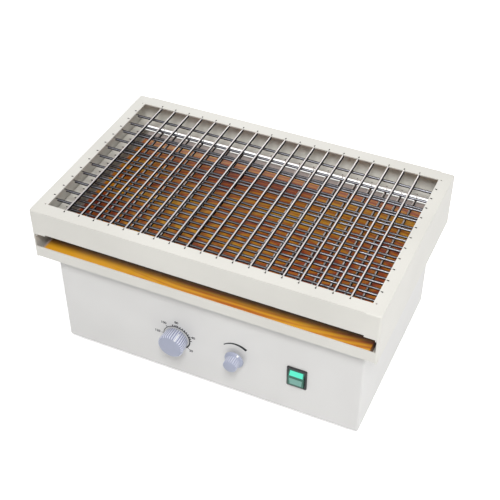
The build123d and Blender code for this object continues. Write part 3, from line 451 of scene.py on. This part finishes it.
def moulded_plastic(name, colour, roughness, shade=None, texture=0.05):
    """Injection-moulded plastic: a fine texture from the mould, 0.4 mm apart, and a nearly even colour."""
    material, tree, shader = new_material(name, Roughness=roughness, IOR=1.46)
    place = add_node(tree, "ShaderNodeTexCoord").outputs["Object"]
    cloud = add_node(tree, "ShaderNodeTexNoise", {"Vector": place, "Scale": 1 / (16.7 * MM), "Detail": 2})
    tone = add_node(
        tree,
        "ShaderNodeValToRGB",
        {"Fac": cloud.outputs["Fac"]},
        ((0.3, shade or colour), (0.7, colour)),
    )
    grain = add_node(tree, "ShaderNodeTexNoise", {"Vector": place, "Scale": 1 / (0.4 * MM), "Detail": 1})
    bump = add_node(
        tree,
        "ShaderNodeBump",
        {"Height": grain.outputs["Fac"], "Strength": texture, "Distance": 0.05 * MM},
    )
    tree.links.new(tone.outputs["Color"], shader.inputs["Base Color"])
    tree.links.new(bump.outputs["Normal"], shader.inputs["Normal"])
    return material


def lit_lens(name, colour, glow_colour, glow):
    """Tinted polycarbonate over a lamp: glossy over fine prisms, 1.1 mm apart, and as bright as glow says."""
    material, tree, shader = new_material(
        name,
        Roughness=0.25,
        IOR=1.585,
        Base_Color=linear(colour),
        Emission_Color=linear(glow_colour),
        Emission_Strength=glow,
    )
    place = add_node(tree, "ShaderNodeTexCoord").outputs["Object"]
    prisms = add_node(tree, "ShaderNodeTexNoise", {"Vector": place, "Scale": 1 / (1.11 * MM), "Detail": 1})
    bump = add_node(
        tree,
        "ShaderNodeBump",
        {"Height": prisms.outputs["Fac"], "Strength": 0.1, "Distance": 0.1 * MM},
    )
    tree.links.new(bump.outputs["Normal"], shader.inputs["Normal"])
    return material


# Off-white enamel, a little warmer on the tray than on the base
tray_enamel = sprayed_enamel("tray_enamel", "#E3E1DA", "#DDDBD4")
base_enamel = sprayed_enamel("base_enamel", "#E3E2E0", "#DDDCDA")
wood = varnished_wood()
# Springs along the stroke: painted shade over most of each turn, and a painted highlight only on its top
long_spring_steel = spring_steel(
    "shaded_long_spring_steel", 0.0, (0.10, "#96969C"), (0.22, "#46464D"), (0.36, "#0A0A0E")
)
# Springs across it: a painted highlight on the side of the light, and painted shade on the other
cross_spring_steel = spring_steel(
    "lit_and_shaded_cross_spring_steel", 0.5, (0.28, "#E2DCDA"), (0.40, "#6A686E"), (0.48, "#08080C")
)
# Plated fasteners and brackets: cool grey, with a soft shine that comes and goes
zinc_plate = worked_metal("zinc_plated_steel", "#B9BCC0", 0.35, (25, 25, 25))
# Ground rods and shafts: nearly mirror bright, streaked along X
ground_steel = worked_metal("ground_steel", "#C9C9CA", 0.18, (33.3, 2.5, 2.5), 0.05)
# Sand castings, machined in places: dull silver
cast_aluminium = worked_metal("cast_aluminium", "#B4B6B8", 0.42, (6.67, 6.67, 6.67))
# Pressed and sintered powder, full of oil: brown and dull
sintered_bronze = worked_metal("sintered_bronze", "#A8824C", 0.45, (2, 2, 2))
# Turned pins: yellow and bright
brass = worked_metal("turned_brass", "#C9A65A", 0.28, (5, 5, 5))
# Moulded rubber: nearly black and matt, greyer in patches
rubber = moulded_plastic("black_rubber", "#17171A", 0.75, "#222226", 0.2)
# Filled nylon housings: black with a satin gloss
black_plastic = moulded_plastic("black_nylon", "#16171A", 0.42, "#1C1D21")
# Machine paint on the motor: blue-grey, satin, with the enamel's peel
grey_paint = sprayed_enamel("grey_hammer_paint", "#5A5E64", "#4E5258")
# Glass-epoxy laminate under solder mask: deep green and semi-gloss
laminate = moulded_plastic("green_circuit_laminate", "#1E5A30", 0.35, "#184C28")
# Lavender-grey ABS of the knobs. The ribs' crests carry a painted highlight and their grooves painted shade,
# bolder than the real light and shade on them, so that the ribs show
lavender_plastic = moulded_plastic("lavender_grey_abs", "#A9AEC2", 0.34, "#A5AABE")
lit_crest_plastic = moulded_plastic("lavender_grey_lit_crest", "#CFD2E0", 0.3, "#CBCEDC")
shaded_groove_plastic = moulded_plastic("lavender_grey_shaded_groove", "#7A80A2", 0.6, "#767C9E")
# The timer's filled pointer line and the painted highlight on the speed knob's skirt, both white, and screen
# print:
# flat, opaque and dull
white_paint_and_highlight = moulded_plastic("white_paint_and_highlight", "#F4F4F4", 0.5)
print_ink = moulded_plastic("dark_grey_ink", "#101418", 0.55)
# The rocker's lens: dark green round its panels, mint over the lamp and pale below the ridge
lens_dark = lit_lens("dark_green_lens", "#0B5A48", "#0B5A48", 0.05)
lens_lit = lit_lens("mint_lens", "#0F8068", "#58F2D0", 0.72)
lens_dim = lit_lens("dim_green_lens", "#6AA598", "#5FA898", 0.05)

NODE_MATERIALS = {
    tray_enamel: (
        "tray_left_side tray_right_side tray_front_rim tray_rear_rim left_spring_rail"
        " right_spring_rail tray_pan"
    ),
    base_enamel: "base_cover base_plate",
    wood: "wooden_board",
    zinc_plate: (
        "carriage_screws tray_posts tray_screws rod_clip foot_screws plate_screws right_rod_bracket"
        " left_rod_bracket guide_rod_nuts motor_bracket board_spacers panel_nuts speed_body"
    ),
    ground_steel: (
        "front_guide_rod rear_guide_rod carriage_pin crank_bearings crank_shaft crank_pin motor_shaft"
        " timer_shaft speed_shaft"
    ),
    cast_aluminium: "carriage_plate bearing_housing connecting_rod crank_pulley motor_pulley",
    sintered_bronze: "guide_bushes rod_bushes",
    brass: "inlet_pins",
    rubber: "foot_front_left foot_rear_left foot_front_right foot_rear_right drive_belt",
    black_plastic: "board_components timer_body switch_housing power_inlet fuse_holder fuse_cap",
    grey_paint: "motor",
    laminate: "control_board",
    lens_dark: "power_rocker",
}
WELD_GAP = 0.002 * MM
SMOOTH_ANGLE = math.radians(32)

for material, names in NODE_MATERIALS.items():
    for name in names.split():
        node = nodes[name]
        node.data.materials.clear()
        node.data.materials.append(material)
        custom = node.data.attributes.get("custom_normal")
        if custom:
            node.data.attributes.remove(custom)
        node.data.polygons.foreach_set("use_smooth", [True] * len(node.data.polygons))
        node.modifiers.new("weld", "WELD").merge_threshold = WELD_GAP
        node.modifiers.new("creases", "EDGE_SPLIT").split_angle = SMOOTH_ANGLE


# Coil springs


def spring_net_tree():
    """Geometry nodes for one net: close-wound springs with a hook at each end, side by side at a pitch."""
    tree = bpy.data.node_groups.new("spring_net", "GeometryNodeTree")
    for name, kind in (
        ("Coil Diameter", "NodeSocketFloat"),
        ("Wire Diameter", "NodeSocketFloat"),
        ("Body Length", "NodeSocketFloat"),
        ("Hook Reach", "NodeSocketFloat"),
        ("Hook Rise", "NodeSocketFloat"),
        ("Hook Tail", "NodeSocketFloat"),
        ("Pitch", "NodeSocketFloat"),
        ("Count", "NodeSocketInt"),
        ("Steps", "NodeSocketInt"),
        ("Turned", "NodeSocketRotation"),
        ("Place", "NodeSocketVector"),
        ("Material", "NodeSocketMaterial"),
    ):
        tree.interface.new_socket(name, in_out="INPUT", socket_type=kind)
    tree.interface.new_socket("Geometry", in_out="OUTPUT", socket_type="NodeSocketGeometry")
    given = {socket.name: socket for socket in add_node(tree, "NodeGroupInput").outputs if socket.name}

    # Sizes that follow from the inputs
    for name, first, operation, second in (
        ("Coil Radius", "Coil Diameter", "MULTIPLY", 0.5),
        ("Wire Radius", "Wire Diameter", "MULTIPLY", 0.5),
        ("Wire Side", "Wire Diameter", "MULTIPLY", -0.5),
        ("Turns", "Body Length", "DIVIDE", "Wire Diameter"),
        ("Crest", "Wire Radius", "MULTIPLY", GROOVE_SHARE),
        ("Groove", "Wire Radius", "MULTIPLY", -GROOVE_SHARE),
        ("Body Start", "Body Length", "MULTIPLY", -0.5),
        ("Body End", "Body Length", "MULTIPLY", 0.5),
        ("Bend Drop", "Coil Radius", "MULTIPLY", -0.2),
        ("Tail Outer", "Hook Reach", "ADD", "Wire Radius"),
        ("Tail Inner", "Hook Reach", "SUBTRACT", "Hook Tail"),
        ("Gaps", "Count", "SUBTRACT", 1),
        ("Half Pitch", "Pitch", "MULTIPLY", -0.5),
        ("First", "Gaps", "MULTIPLY", "Half Pitch"),
    ):
        given[name] = add_node(
            tree, "ShaderNodeMath", {0: given[first], 1: given.get(second, second)}, operation=operation
        ).outputs[0]
    for name, parts in (
        ("Section Start", {"X": "Groove", "Y": "Wire Side"}),
        ("Section Middle", {"X": "Crest"}),
        ("Section End", {"X": "Groove", "Y": "Wire Radius"}),
        ("Body Shift", {"X": "Body Start"}),
        ("Bend Start", {"X": "Body End", "Z": "Coil Radius"}),
        ("Bend Out", {"X": "Hook Reach", "Z": "Coil Radius"}),
        ("Bend Up", {"X": "Hook Reach", "Z": "Bend Drop"}),
        ("Bend End", {"X": "Hook Reach", "Z": "Hook Rise"}),
        ("Tail Start", {"X": "Tail Outer", "Z": "Hook Rise"}),
        ("Tail End", {"X": "Tail Inner", "Z": "Hook Rise"}),
        ("Row Start", {"Y": "First"}),
        ("Row Step", {"Y": "Pitch"}),
    ):
        given[name] = add_node(
            tree, "ShaderNodeCombineXYZ", {axis: given[part] for axis, part in parts.items()}
        ).outputs[0]

    # The coil's outside: a helix whose section is one wire's outer part, so that turn lies against turn
    helix = add_node(
        tree,
        "GeometryNodeCurveSpiral",
        {
            "Resolution": given["Steps"],
            "Rotations": given["Turns"],
            "Start Radius": given["Coil Radius"],
            "End Radius": given["Coil Radius"],
            "Height": given["Body Length"],
        },
    )
    upright = add_node(tree, "GeometryNodeSetCurveNormal", {"Curve": helix.outputs[0]}, mode="Z_UP")
    section = add_node(
        tree,
        "GeometryNodeCurveQuadraticBezier",
        {
            "Resolution": 2,
            "Start": given["Section Start"],
            "Middle": given["Section Middle"],
            "End": given["Section End"],
        },
    )
    coil = add_node(
        tree,
        "GeometryNodeCurveToMesh",
        {"Curve": upright.outputs[0], "Profile Curve": section.outputs[0]},
    )
    lying = add_node(
        tree,
        "GeometryNodeTransform",
        {
            "Geometry": coil.outputs[0],
            "Translation": given["Body Shift"],
            "Rotation": Euler((0, math.pi / 2, 0)),
        },
    )
    # Hook: the wire leaves the last turn along the axis, bends up through the flange's hole and ends in a
    # tail bent back on the flange
    bend = add_node(
        tree,
        "GeometryNodeCurvePrimitiveBezierSegment",
        {
            "Resolution": 10,
            "Start": given["Bend Start"],
            "Start Handle": given["Bend Out"],
            "End Handle": given["Bend Up"],
            "End": given["Bend End"],
        },
        mode="POSITION",
    )
    tail = add_node(
        tree,
        "GeometryNodeCurvePrimitiveLine",
        {"Start": given["Tail Start"], "End": given["Tail End"]},
    )
    hook_line = add_node(tree, "GeometryNodeJoinGeometry")
    for source in (bend, tail):
        tree.links.new(source.outputs[0], hook_line.inputs[0])
    wire = add_node(
        tree, "GeometryNodeCurvePrimitiveCircle", {"Resolution": 8, "Radius": given["Wire Radius"]}
    )
    hook = add_node(
        tree,
        "GeometryNodeCurveToMesh",
        {"Curve": hook_line.outputs[0], "Profile Curve": wire.outputs[0], "Fill Caps": True},
    )
    other_hook = add_node(
        tree,
        "GeometryNodeTransform",
        {"Geometry": hook.outputs[0], "Rotation": Euler((0, 0, math.pi))},
    )
    spring = add_node(tree, "GeometryNodeJoinGeometry")
    for source in (lying, hook, other_hook):
        tree.links.new(source.outputs[0], spring.inputs[0])

    row = add_node(
        tree,
        "GeometryNodeMeshLine",
        {"Count": given["Count"], "Start Location": given["Row Start"], "Offset": given["Row Step"]},
    )
    net = add_node(
        tree, "GeometryNodeInstanceOnPoints", {"Points": row.outputs[0], "Instance": spring.outputs[0]}
    )
    real = add_node(tree, "GeometryNodeRealizeInstances", {"Geometry": net.outputs[0]})
    placed = add_node(
        tree,
        "GeometryNodeTransform",
        {"Geometry": real.outputs[0], "Translation": given["Place"], "Rotation": given["Turned"]},
    )
    smooth = add_node(tree, "GeometryNodeSetShadeSmooth", {"Geometry": placed.outputs[0]})
    finished = add_node(
        tree,
        "GeometryNodeSetMaterial",
        {"Geometry": smooth.outputs[0], "Material": given["Material"]},
    )
    add_node(tree, "NodeGroupOutput", {"Geometry": finished.outputs[0]})
    return tree


def net_mesh(tree, name, values):
    """The plain mesh that the net's tree makes with these input values."""
    carrier = bpy.data.objects.new(name, bpy.data.meshes.new(name))
    bpy.context.scene.collection.objects.link(carrier)
    modifier = carrier.modifiers.new(name, "NODES")
    modifier.node_group = tree
    for item in tree.interface.items_tree:
        if item.item_type == "SOCKET" and item.in_out == "INPUT":
            modifier[item.identifier] = values[item.name]
    carrier.update_tag()
    graph = bpy.context.evaluated_depsgraph_get()
    mesh = bpy.data.meshes.new_from_object(carrier.evaluated_get(graph))
    bpy.data.objects.remove(carrier)
    return mesh


spring_tree = spring_net_tree()
for name, is_long in (
    ("upper_long_springs", True),
    ("upper_cross_springs", False),
    ("lower_long_springs", True),
    ("lower_cross_springs", False),
):
    low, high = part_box(name)
    span = high - low
    along, count = (span.x, LONG_SPRINGS) if is_long else (span.y, CROSS_SPRINGS)
    steel = long_spring_steel if is_long else cross_spring_steel
    reach = along / 2 - WIRE_DIAMETER / 2
    axis_height = low.z + CAD_COIL_DIAMETER / 2
    mesh = net_mesh(
        spring_tree,
        name + "_coils",
        {
            "Coil Diameter": COIL_DIAMETER,
            "Wire Diameter": WIRE_DIAMETER,
            "Body Length": 2 * (reach - HOOK_INSET - FLANGE_GAP),
            "Hook Reach": reach,
            "Hook Rise": high.z - WIRE_DIAMETER / 2 - axis_height,
            "Hook Tail": HOOK_TAIL,
            "Pitch": SPRING_PITCH,
            "Count": count,
            "Steps": STEPS_PER_TURN,
            "Turned": Euler((0, 0, 0 if is_long else math.pi / 2)),
            "Place": Vector(((low.x + high.x) / 2, (low.y + high.y) / 2, axis_height)),
            "Material": steel,
        },
    )
    net = object_from(mesh, name + "_coils", steel, "tray")
    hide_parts(name)


# Knobs


def on_axis(node, y):
    """The point on a control's axis at that Y."""
    low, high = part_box(node)
    return Vector(((low.x + high.x) / 2, y, (low.z + high.z) / 2))


def ribbed_knob(knob, rings, ribs, depth):
    """A moulded knob through (radius, distance from its back, rib share) rings, with ribs round it."""
    centre = on_axis(knob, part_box(knob)[1].y)
    count = ribs * RIB_SAMPLES
    mesh = bmesh.new()
    loops = []
    for radius, distance, share in rings:
        loop = []
        for i in range(count):
            angle = 2 * math.pi * i / count
            # Ribs are round ridges between narrow grooves
            ridge = (0.5 - 0.5 * math.cos(2 * math.pi * i / RIB_SAMPLES)) ** GROOVE_POWER
            r = radius - depth * share * (1 - ridge)
            point = centre + Vector((r * math.cos(angle), -distance, r * math.sin(angle)))
            loop.append(mesh.verts.new(point))
        loops.append(loop)
    for a, b, ring in zip(loops, loops[1:], rings):
        for i in range(count):
            j = (i + 1) % count
            face = mesh.faces.new((a[i], a[j], b[j], b[i]))
            if ring[2] == 1:
                # The second material is the grooves' painted shade, and the third the crests' painted
                # highlight
                face.material_index = 1 if i % RIB_SAMPLES in (RIB_SAMPLES - 1, 0) else 2
    for loop, distance in ((loops[0], rings[0][1]), (loops[-1], rings[-1][1])):
        tip = mesh.verts.new(centre + Vector((0, -distance, 0)))
        for i in range(count):
            mesh.faces.new((loop[i], loop[(i + 1) % count], tip))
    bmesh.ops.recalc_face_normals(mesh, faces=mesh.faces)
    for face in mesh.faces:
        face.smooth = True
    piece = object_from(mesh, knob + "_skin", lavender_plastic, knob)
    piece.data.materials.append(shaded_groove_plastic)
    piece.data.materials.append(lit_crest_plastic)
    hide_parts(knob)


def rounded_rim(radius, height, edge, dome):
    """Rings over a rounded front edge and a slightly domed face; the ribs die out over the edge."""
    rings = []
    for step in range(7):
        angle = math.radians(15 * step)
        rings.append(
            (
                radius - edge + edge * math.cos(angle),
                height - dome - edge + edge * math.sin(angle),
                min(1.0, (6 - step) / 2),
            )
        )
    for share in (0.7, 0.4, 0.15):
        r = (radius - edge) * share
        rings.append((r, height - dome * (r / radius) ** 2, 0.0))
    return rings


timer_low, timer_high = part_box("timer_knob")
timer_radius = (timer_high.x - timer_low.x) / 2
timer_height = timer_high.y - timer_low.y
timer_rim_height = timer_height - TIMER_DOME
ribbed_knob(
    "timer_knob",
    [
        (timer_radius * KNOB_BACK_SHARE, 0, 0),
        (timer_radius - 1.6 * MM, 0, 0),
        (timer_radius - 0.8 * MM, 0.5 * MM, 1),
        *rounded_rim(timer_radius, timer_height, TIMER_EDGE, TIMER_DOME),
    ],
    TIMER_RIBS,
    TIMER_RIB_DEPTH,
)

speed_low, speed_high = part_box("speed_knob")
skirt_radius = (speed_high.x - speed_low.x) / 2
skirt_top = SPEED_STAND_OFF + SPEED_SKIRT_HEIGHT
speed_height = speed_high.y - speed_low.y
grip_radius = SPEED_GRIP_DIAMETER / 2
ribbed_knob(
    "speed_knob",
    [
        (skirt_radius * KNOB_BACK_SHARE, SPEED_STAND_OFF, 0),
        (skirt_radius - 0.3 * MM, SPEED_STAND_OFF, 0),
        (skirt_radius, SPEED_STAND_OFF + 0.4 * MM, 0),
        (skirt_radius - 0.2 * MM, SPEED_STAND_OFF + 1.4 * MM, 0),
        (skirt_radius - 0.9 * MM, SPEED_STAND_OFF + 2.1 * MM, 0),
        (grip_radius + 1.2 * MM, skirt_top, 0),
        (grip_radius + 0.1 * MM, skirt_top + 0.3 * MM, 0.5),
        (grip_radius, skirt_top + 1.0 * MM, 1),
        *rounded_rim(grip_radius, speed_height, SPEED_EDGE, SPEED_DOME),
    ],
    SPEED_RIBS,
    SPEED_RIB_DEPTH,
)


def lofted(name, sections, material, body):
    """A solid through sections of four points each, closed at both ends."""
    mesh = bmesh.new()
    rails = [[mesh.verts.new(point) for point in section] for section in sections]
    for a, b in zip(rails, rails[1:]):
        for i in range(4):
            mesh.faces.new((a[i], a[(i + 1) % 4], b[(i + 1) % 4], b[i]))
    mesh.faces.new(rails[0])
    mesh.faces.new(rails[-1])
    bmesh.ops.recalc_face_normals(mesh, faces=mesh.faces)
    object_from(mesh, name, material, body)


def pointer_and_highlight_line(name, knob, angle, width, path):
    """A filled white line along a path of (radius, distance from the back), rooted in the knob: the timer's
    pointer and the speed knob's painted highlight.
    """
    back = on_axis(knob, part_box(knob)[1].y)
    out = Vector((math.cos(math.radians(angle)), 0, math.sin(math.radians(angle))))
    across = Vector((-out.z, 0, out.x))
    corners = ((-PAINT_ROOT, -width / 2), (0, -width / 2), (0, width / 2), (-PAINT_ROOT, width / 2))
    sections = [
        [
            back + out * (radius + inward) + across * sideways + Vector((0, -distance, 0))
            for inward, sideways in corners
        ]
        for radius, distance in path
    ]
    lofted(name, sections, white_paint_and_highlight, knob)


# Down the timer knob's side and over its rounded edge
pointer_and_highlight_line(
    "timer_pointer",
    "timer_knob",
    TIMER_POINTER_ANGLE,
    TIMER_POINTER_WIDTH,
    [
        (timer_radius - 0.02 * MM, 6 * MM),
        (timer_radius - 0.02 * MM, timer_rim_height - TIMER_EDGE),
        *(
            (
                timer_radius - TIMER_EDGE * (1 - math.cos(math.radians(angle))),
                timer_rim_height + PAINT_THICKNESS - TIMER_EDGE * (1 - math.sin(math.radians(angle))),
            )
            for angle in (20, 40, 60, 80)
        ),
    ],
)
# Painted highlight: a white streak up the speed knob's skirt
pointer_and_highlight_line(
    "speed_skirt_highlight",
    "speed_knob",
    SPEED_HIGHLIGHT_ANGLE,
    SPEED_HIGHLIGHT_WIDTH,
    [
        (skirt_radius - 0.15 * MM, SPEED_STAND_OFF + 1.4 * MM),
        (skirt_radius - 0.85 * MM, SPEED_STAND_OFF + 2.15 * MM),
        (grip_radius + 1.4 * MM, skirt_top + PAINT_THICKNESS),
    ],
)


# Rocker: a lit panel above the ridge and a dim one below


def rocker_point(out, up, across):
    """A point of the rocker in its own tilted axes, out from its pivot, up its face and across."""
    pivot = Vector(joints["power_rock"]["pos_m"])
    tilt = math.radians(ROCKER_TILT)
    y = -(out * math.cos(tilt) - up * math.sin(tilt))
    z = out * math.sin(tilt) + up * math.cos(tilt)
    return pivot + Vector((across, y, z))


def rocker_panel(name, material, near, far, near_width, far_width, proud):
    """A lens panel on one facet, from near to far of the ridge."""
    drop = math.tan(math.radians(ROCKER_SLOPE))
    sections = []
    for up, width in ((near, near_width), (far, far_width)):
        out = ROCKER_RIDGE - abs(up) * drop
        sections.append(
            [
                rocker_point(out - PANEL_ROOT, up, -width / 2),
                rocker_point(out - PANEL_ROOT, up, width / 2),
                rocker_point(out + proud, up, width / 2),
                rocker_point(out + proud, up, -width / 2),
            ]
        )
    lofted(name, sections, material, "power_rocker")


rocker_panel(
    "rocker_lit_panel",
    lens_lit,
    near=3.0 * MM,
    far=9.6 * MM,
    near_width=17.2 * MM,
    far_width=16.4 * MM,
    proud=0.25 * MM,
)
rocker_panel(
    "rocker_dim_panel",
    lens_dim,
    near=-0.4 * MM,
    far=-9.6 * MM,
    near_width=16.6 * MM,
    far_width=14.8 * MM,
    proud=0.2 * MM,
)


# Printed scales


def printed_arc(name, centre, radius, angles, widths):
    """A printed arc round a control, from one width to the other."""
    sections = []
    for step in range(ARC_STEPS + 1):
        share = step / ARC_STEPS
        angle = math.radians(angles[0] + (angles[1] - angles[0]) * share)
        half = (widths[0] + (widths[1] - widths[0]) * share) / 2
        sections.append(
            [
                centre + Vector((r * math.cos(angle), -depth, r * math.sin(angle)))
                for r, depth in (
                    (radius - half, 0),
                    (radius + half, 0),
                    (radius + half, PRINT_THICKNESS),
                    (radius - half, PRINT_THICKNESS),
                )
            ]
        )
    lofted(name, sections, print_ink, "base")


def printed_tick(name, centre, angle, radius, length, width):
    """A short mark outwards from a scale's radius, at an angle in radians."""
    out = Vector((math.cos(angle), 0, math.sin(angle)))
    across = Vector((-out.z, 0, out.x)) * width / 2
    sections = []
    for depth in (0, PRINT_THICKNESS):
        face = centre + Vector((0, -depth, 0))
        sections.append(
            [
                face + out * radius - across,
                face + out * (radius + length) - across,
                face + out * (radius + length) + across,
                face + out * radius + across,
            ]
        )
    lofted(name, sections, print_ink, "base")


def printed_number(name, text, centre, x, z):
    """A number whose middle lies that far, in mm, from the control's axis."""
    curve = bpy.data.curves.new(name, "FONT")
    curve.body = text
    curve.size = NUMBER_HEIGHT / DIGIT_SHARE
    curve.align_x = "CENTER"
    curve.align_y = "CENTER"
    curve.extrude = PRINT_THICKNESS / 2
    curve.offset = NUMBER_BOLDNESS
    writer = bpy.data.objects.new(name, curve)
    bpy.context.scene.collection.objects.link(writer)
    graph = bpy.context.evaluated_depsgraph_get()
    mesh = bpy.data.meshes.new_from_object(writer.evaluated_get(graph))
    bpy.data.objects.remove(writer)
    mesh.transform(Matrix.Rotation(math.pi / 2, 4, "X"))
    mesh.transform(Matrix.Translation(centre + Vector((x * MM, -PRINT_THICKNESS / 2, z * MM))))
    object_from(mesh, name, print_ink, "base")


panel_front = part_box("base_cover")[0].y
timer_centre = on_axis("timer_knob", panel_front)
speed_centre = on_axis("speed_knob", panel_front)
printed_arc(
    "timer_scale_arc", timer_centre, TIMER_SCALE_RADIUS, TIMER_SCALE_ANGLES, TIMER_SCALE_WIDTHS
)
for text, x, z in TIMER_NUMBERS:
    printed_number("timer_number_" + text, text, timer_centre, x, z)
    printed_tick("timer_tick_" + text, timer_centre, math.atan2(z, x), TIMER_SCALE_RADIUS, *TIMER_TICK)
for angle in TIMER_MINOR_ANGLES:
    printed_tick(
        f"timer_minor_tick_{angle}",
        timer_centre,
        math.radians(angle),
        TIMER_SCALE_RADIUS,
        *TIMER_MINOR_TICK,
    )
printed_arc(
    "speed_scale_arc", speed_centre, SPEED_SCALE_RADIUS, SPEED_SCALE_ANGLES, SPEED_SCALE_WIDTHS
)


# Stage: floor, lights, camera

FLOOR_HALF = 4.0
FLOOR_GLOW = 0.6
SKY_AT_HORIZON = 0.11
SKY_OVERHEAD = 0.66
LIGHTS_TARGET = (0, 0, 0.1)
LIGHTS = (
    ("softbox_right", (2.0, -0.2, 1.1), 1.0, 7),
    ("key_front", (0.6, -1.35, 2.2), 0.7, 37),
    ("fill_rear", (-0.9, 1.9, 0.9), 1.0, 6),
)


def seen_ray(tree):
    """1 for a ray from the camera, a reflection or a transmission, and 0 for light on the object."""
    rays = add_node(tree, "ShaderNodeLightPath").outputs
    reflected = add_node(
        tree,
        "ShaderNodeMath",
        {0: rays["Is Camera Ray"], 1: rays["Is Glossy Ray"]},
        operation="MAXIMUM",
    )
    return add_node(
        tree,
        "ShaderNodeMath",
        {0: reflected.outputs[0], 1: rays["Is Transmission Ray"]},
        operation="MAXIMUM",
    ).outputs[0]


def white_floor():
    """A floor that looks white to the camera and in reflections, and keeps the object's soft shadow."""
    corners = [(x * FLOOR_HALF, y * FLOOR_HALF, 0) for x, y in ((-1, -1), (1, -1), (1, 1), (-1, 1))]
    data = bpy.data.meshes.new("floor")
    data.from_pydata(corners, [], [(0, 1, 2, 3)])
    floor = bpy.data.objects.new("floor", data)
    bpy.context.scene.collection.objects.link(floor)
    material, tree, shader = new_material(
        "floor_paper",
        Roughness=1.0,
        Base_Color=linear("#E6E6E6"),
        Specular_IOR_Level=0.0,
        Emission_Color=linear("#FFFFFF"),
    )
    glow = add_node(tree, "ShaderNodeMath", {0: seen_ray(tree), 1: FLOOR_GLOW}, operation="MULTIPLY")
    tree.links.new(glow.outputs[0], shader.inputs["Emission Strength"])
    data.materials.append(material)
    floor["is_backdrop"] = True


def soft_world():
    """Plain studio light from all round, and pure white where the camera or a reflection meets it."""
    world = bpy.data.worlds.new("studio")
    bpy.context.scene.world = world
    world.use_nodes = True
    tree = world.node_tree
    background = tree.nodes["Background"]
    background.inputs["Color"].default_value = linear("#FFFFFF")
    direction = add_node(tree, "ShaderNodeTexCoord").outputs["Generated"]
    height = add_node(tree, "ShaderNodeSeparateXYZ", {"Vector": direction}).outputs["Z"]
    sky = add_node(
        tree, "ShaderNodeMapRange", {"Value": height, "To Min": SKY_AT_HORIZON, "To Max": SKY_OVERHEAD}
    )
    strength = add_node(
        tree, "ShaderNodeMapRange", {"Value": seen_ray(tree), "To Min": sky.outputs["Result"]}
    )
    tree.links.new(strength.outputs["Result"], background.inputs["Strength"])


def area_light(name, place, size, power):
    """A round soft light that points at the object."""
    data = bpy.data.lights.new(name, "AREA")
    data.shape = "DISK"
    data.size = size
    data.energy = power
    light = bpy.data.objects.new(name, data)
    light.location = place
    light.rotation_euler = (Vector(LIGHTS_TARGET) - Vector(place)).to_track_quat("-Z", "Y").to_euler()
    bpy.context.scene.collection.objects.link(light)


white_floor()
soft_world()
for light in LIGHTS:
    area_light(*light)

tray_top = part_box("tray_front_rim")[1].z
tray_middle = (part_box("tray_front_rim")[0].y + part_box("tray_rear_rim")[1].y) / 2
camera_data = bpy.data.cameras.new("camera")
camera_data.lens = CAMERA_LENS
camera_data.sensor_width = SENSOR_WIDTH
camera = bpy.data.objects.new("camera", camera_data)
camera.location = Vector((0, tray_middle, tray_top)) + Vector(CAMERA_FROM_TRAY_TOP)
camera.rotation_euler = [math.radians(angle) for angle in CAMERA_ANGLES]
bpy.context.scene.collection.objects.link(camera)
bpy.context.scene.camera = camera
bpy.context.scene.view_settings.view_transform = "Standard"

low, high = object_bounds()
